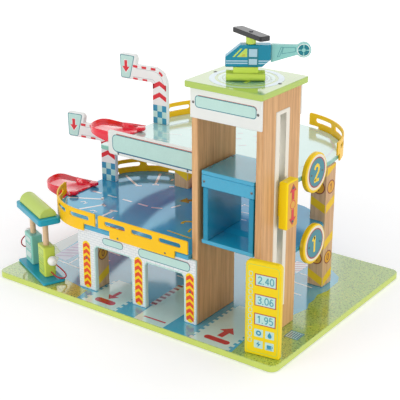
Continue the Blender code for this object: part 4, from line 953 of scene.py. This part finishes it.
art.ring("blue", (46.4, 19.6), 1.4, 2.6, 2, 10, -90, 90)
art.rect("blue", 37.6, 14.6, 48.0, 15.6, 2)
art.done()


# Number discs, slider and columns

for digit, x, y, z, left in (("1", 245, -8.8, 132.1, -7.6), ("2", 228.4, 18.4, 247.3, -6.8)):
    art = Print("disc_" + digit, "garage", (x, y, z), BACK, UP)
    for layer, (colour, radius) in enumerate((("cream", 31), ("maroon", 26.6), ("teal", 24.4))):
        art.disc(colour, (1.2, 0.6), radius, layer, 56)
    art.digits("yellow", digit, left, -13.5, 27, 14.5, 5.4, 0, 3)
    art.done()

art = Print("slider", "lift", (264.5, -116.5, 242.5), BACK, UP)
# The amber ground over the slider's whole right face, and the amber disc in its middle, are painted shade:
# they make this side darker than the slider's yellow front
art.rect("amber", -14.4, -37.6, 14.4, 37.6, 0, 2)
for side in (1, -1):
    rimmed_arrow(art, "rust", (0, 8 * side), (0, 33.8 * side), (6.4, 17.5, 12), 1, 0.7)
art.disc("amber", (0, 0), 8.4, 3, 32)
art.ring("red", (0, 0), 6.2, 7.7, 4, 32)
art.done()

# Heights of each column's slanting bands, and of the numbered rings on its four faces
REAR_MARKS = ((14, 85, 153, 222), ((66.5, "0"), (199.5, "1")))
COLUMN_MARKS = {"column_rear_right": REAR_MARKS, "column_rear_middle": REAR_MARKS,
                "column_front_left": ((20, 91), ((77, "0"),))}
BAND_RISE = 13
BAND_HEIGHT = 15.5

for name, (bands, rings) in COLUMN_MARKS.items():
    low, high = [[value / MM for value in corner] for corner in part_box(name)]
    top = high[2] - 1.2
    for face, origin, right, x0, x1, rise in (
            ("front", (0, low[1], 0), RIGHT, low[0] + 1, high[0] - 1, -BAND_RISE),
            ("right", (high[0], 0, 0), BACK, low[1] + 1, high[1] - 1, BAND_RISE),
            ("rear", (0, high[1], 0), (-1, 0, 0), 1 - high[0], -1 - low[0], -BAND_RISE),
            ("left", (low[0], 0, 0), FRONT, 1 - high[1], -1 - low[1], BAND_RISE)):
        art = Print("%s_%s" % (name, face), "garage", origin, right, UP, "wood")
        for z in bands:
            a, b = (z, z + rise) if rise > 0 else (z - rise, z)
            if max(a, b) + 2 < top and min(a, b) > low[2] - 1:
                art.shape("gold", [(x0, a), (x1, b), (x1, min(b + BAND_HEIGHT, top)),
                                   (x0, min(a + BAND_HEIGHT, top))])
        middle = (x0 + x1) / 2
        for z, digit in rings:
            art.disc("rust", (middle, z), 12.6, 1, 36)
            art.disc("amber", (middle, z), 10.8, 2, 36)
            art.digits("rust", digit, middle - 2.9, z - 6, 12, 5.8, 1.9, 0, 3)
        art.done()


# Helicopter

HELICOPTER = local_place(184.3, -120.3, ROOF_TOP + SEAT, 34.5)


def print_helicopter(side):
    """Windows, door, stripes and tail fan; side is 1 for the face at local -Y, -1 for the other."""
    name = "right" if side > 0 else "left"
    body = turned_print("heli_" + name, "helicopter", HELICOPTER, -9 * side, side)
    boom = turned_print("boom_" + name, "helicopter", HELICOPTER, -4.5 * side, side)
    body.shape("lime", [(-27.7, 36.4), (-24.6, 36.4), (-12.9, 49.2), (-15.9, 49.2)], 1)
    body.shape("lime", [(-21.4, 36.4), (-5.6, 36.4), (-5.6, 49.2), (-8.6, 49.2)], 1)
    body.shape("olive", [(-14.5, 37.0), (-9.5, 37.0), (-8.5, 41.0), (-12.5, 41.0)], 2)
    body.rect("deepteal", -4.6, 22.2, 11.4, 50.4, 1)
    body.rect("sky", -3.0, 24.6, 9.4, 33.4, 2)
    body.rect("sky", -3.0, 36.6, 9.4, 48.6, 2)
    for z, x0, x1 in ((29.3, 27.0, 28.6), (25.7, 22.6, 24.6)):
        body.rect("sky", -37.6, z, -4.8, z + 1.9, 1)
        body.shape("sky", [(11.6, z), (x0, z), (x1, z + 1.9), (11.6, z + 1.9)], 1)
    body.done()
    for panel in ([(40.0, 35.8), (45.3, 50.8), (48.2, 50.5), (43.2, 36.2)],
                  [(48.8, 50.2), (67.0, 50.2), (67.0, 44.0), (46.8, 40.6)]):
        boom.line("teal", panel, 0.6, 1, closed=True)
    fan = (79.5, 46.3)
    for i in range(4):
        boom.ring("deepteal", fan, 3.0, 8.6, 1, 10, 90 * i + 8, 90 * i + 82)
    boom.ring("white", fan, 8.9, 9.8, 1, 40)
    boom.done()


print_helicopter(1)
print_helicopter(-1)


# Petrol pumps

for side, x0, x1, line, fill in (("left", -50.9, -26.8, "teal", "pale"),
                                 ("right", 13.9, 34.7, "green", "lime")):
    art = turned_print("pump_" + side, "petrol_station", STATION, -8.5)
    for z0, z1 in ((46, 56), (31, 42), (14, 27)):
        art.rect(fill, x0, z0, x1, z1, 0, 1)
        art.border(line, x0, z0, x1, z1, 0.7, 1, 1)
    art.lines(line, 0.8, 1, *([(x0 + 3, z), (x1 - 3, z)] for z in (34.5, 38)))
    art.done()


# Screws

SCREW_STEEL = steel("screw_steel", (128, 126, 124))
# The cross in each screw head is a near-black sheet laid on the dome: painted shade for the recess
SCREW_SLOT_SHADE = paint("screw_slot_shade", (26, 26, 28), 0.6, 0.0)
SCREW_SIDES = 20
SCREW_HEIGHT = 0.7
SCREW_GAP = 0.00005
# Shares of the radius and height: the dome's profile, and a slot's half length and level; the slot's width
# is a share of its length
SCREW_PROFILE = ((1.0, 0.0), (1.0, 0.35), (0.86, 0.75), (0.55, 1.0))
SLOT_LENGTH, SLOT_WIDTH, SLOT_LEVEL = 0.5, 0.26, 1.04


def add_screw(name, body, at, out, radius, slot_turn):
    """Domed cross-head screw; at is its seat in millimetres and out the way it faces."""
    bm = bmesh.new()
    loops = []
    for grow, rise in SCREW_PROFILE:
        rim = arc((0, 0), radius * grow, 0, 360, SCREW_SIDES)[:-1]
        loops.append([bm.verts.new(Vector((x, y, SCREW_HEIGHT * rise)) * MM) for x, y in rim])
    for low, high in zip(loops, loops[1:]):
        for i in range(SCREW_SIDES):
            j = (i + 1) % SCREW_SIDES
            bm.faces.new((low[i], low[j], high[j], high[i]))
    bm.faces.new(loops[-1])
    steel_faces = len(bm.faces)
    lift = Vector((0, 0, SCREW_HEIGHT * SLOT_LEVEL * MM))
    # Two dark flat bars just over the dome's top: painted shade where the cross recess is
    for turn in (slot_turn, slot_turn + pi / 2):
        way = Vector((cos(turn), sin(turn), 0)) * radius * SLOT_LENGTH * MM
        across = Vector((-way.y, way.x, 0)) * SLOT_WIDTH
        corners = (-way - across, way - across, way + across, across - way)
        bm.faces.new([bm.verts.new(lift + corner) for corner in corners])
    mesh = mesh_from(bm, name, SCREW_STEEL, SCREW_SLOT_SHADE)
    for polygon in mesh.polygons:
        polygon.material_index = 1 if polygon.index >= steel_faces else 0
        polygon.use_smooth = polygon.index < steel_faces - 1
    out = Vector(out)
    item = add_object(name, mesh, body)
    item.matrix_world = (Matrix.Translation(Vector(at) * MM + out * SCREW_GAP)
                         @ out.to_track_quat("Z", "Y").to_matrix().to_4x4())


SCREWS = {
    "roof": ("garage", UP, 3.0, [(116.2, -116, ROOF_TOP), (234.8, -116, ROOF_TOP)]),
    "header": ("garage", FRONT, 2.2, [(117, PANEL_FRONT, 397), (235.5, PANEL_FRONT, 397)]),
    "facade": ("garage", FRONT, 2.2, [(-115.7, -176.1, 72), (109.3, -176.1, 70.5)]),
    "sign": ("garage", FRONT, 2.0, [(-111, SIGN_FRONT, 241.6), (40.5, SIGN_FRONT, 241.6)]),
    "rail": ("garage", FRONT, 1.8, [(-36, -184.6, 132), (65, -184.6, 132)]),
    "cabin": ("lift", FRONT, 2.2, [(131.8, -168, 267.6), (221.4, -168, 267.6)]),
    "cabin_roof": ("lift", UP, 2.0, [(131, -149, 285.5), (131, -86, 285.5), (221, -149, 285.5)]),
    "slider": ("lift", RIGHT, 2.6, [(264.8, -116.5, 270.5), (264.8, -116.5, 214.5)]),
    "disc_1": ("garage", RIGHT, 1.9, [(245.2, -25.5, 131.0), (245.2, 9.5, 131.0)]),
    "disc_2": ("garage", RIGHT, 1.9, [(228.6, 2.0, 246.8), (228.6, 37.0, 246.8)]),
}
for group, (body, out, radius, places) in SCREWS.items():
    for index, at in enumerate(places):
        add_screw("screw_%s_%d" % (group, index + 1), body, at, out, radius, 0.4 + index)
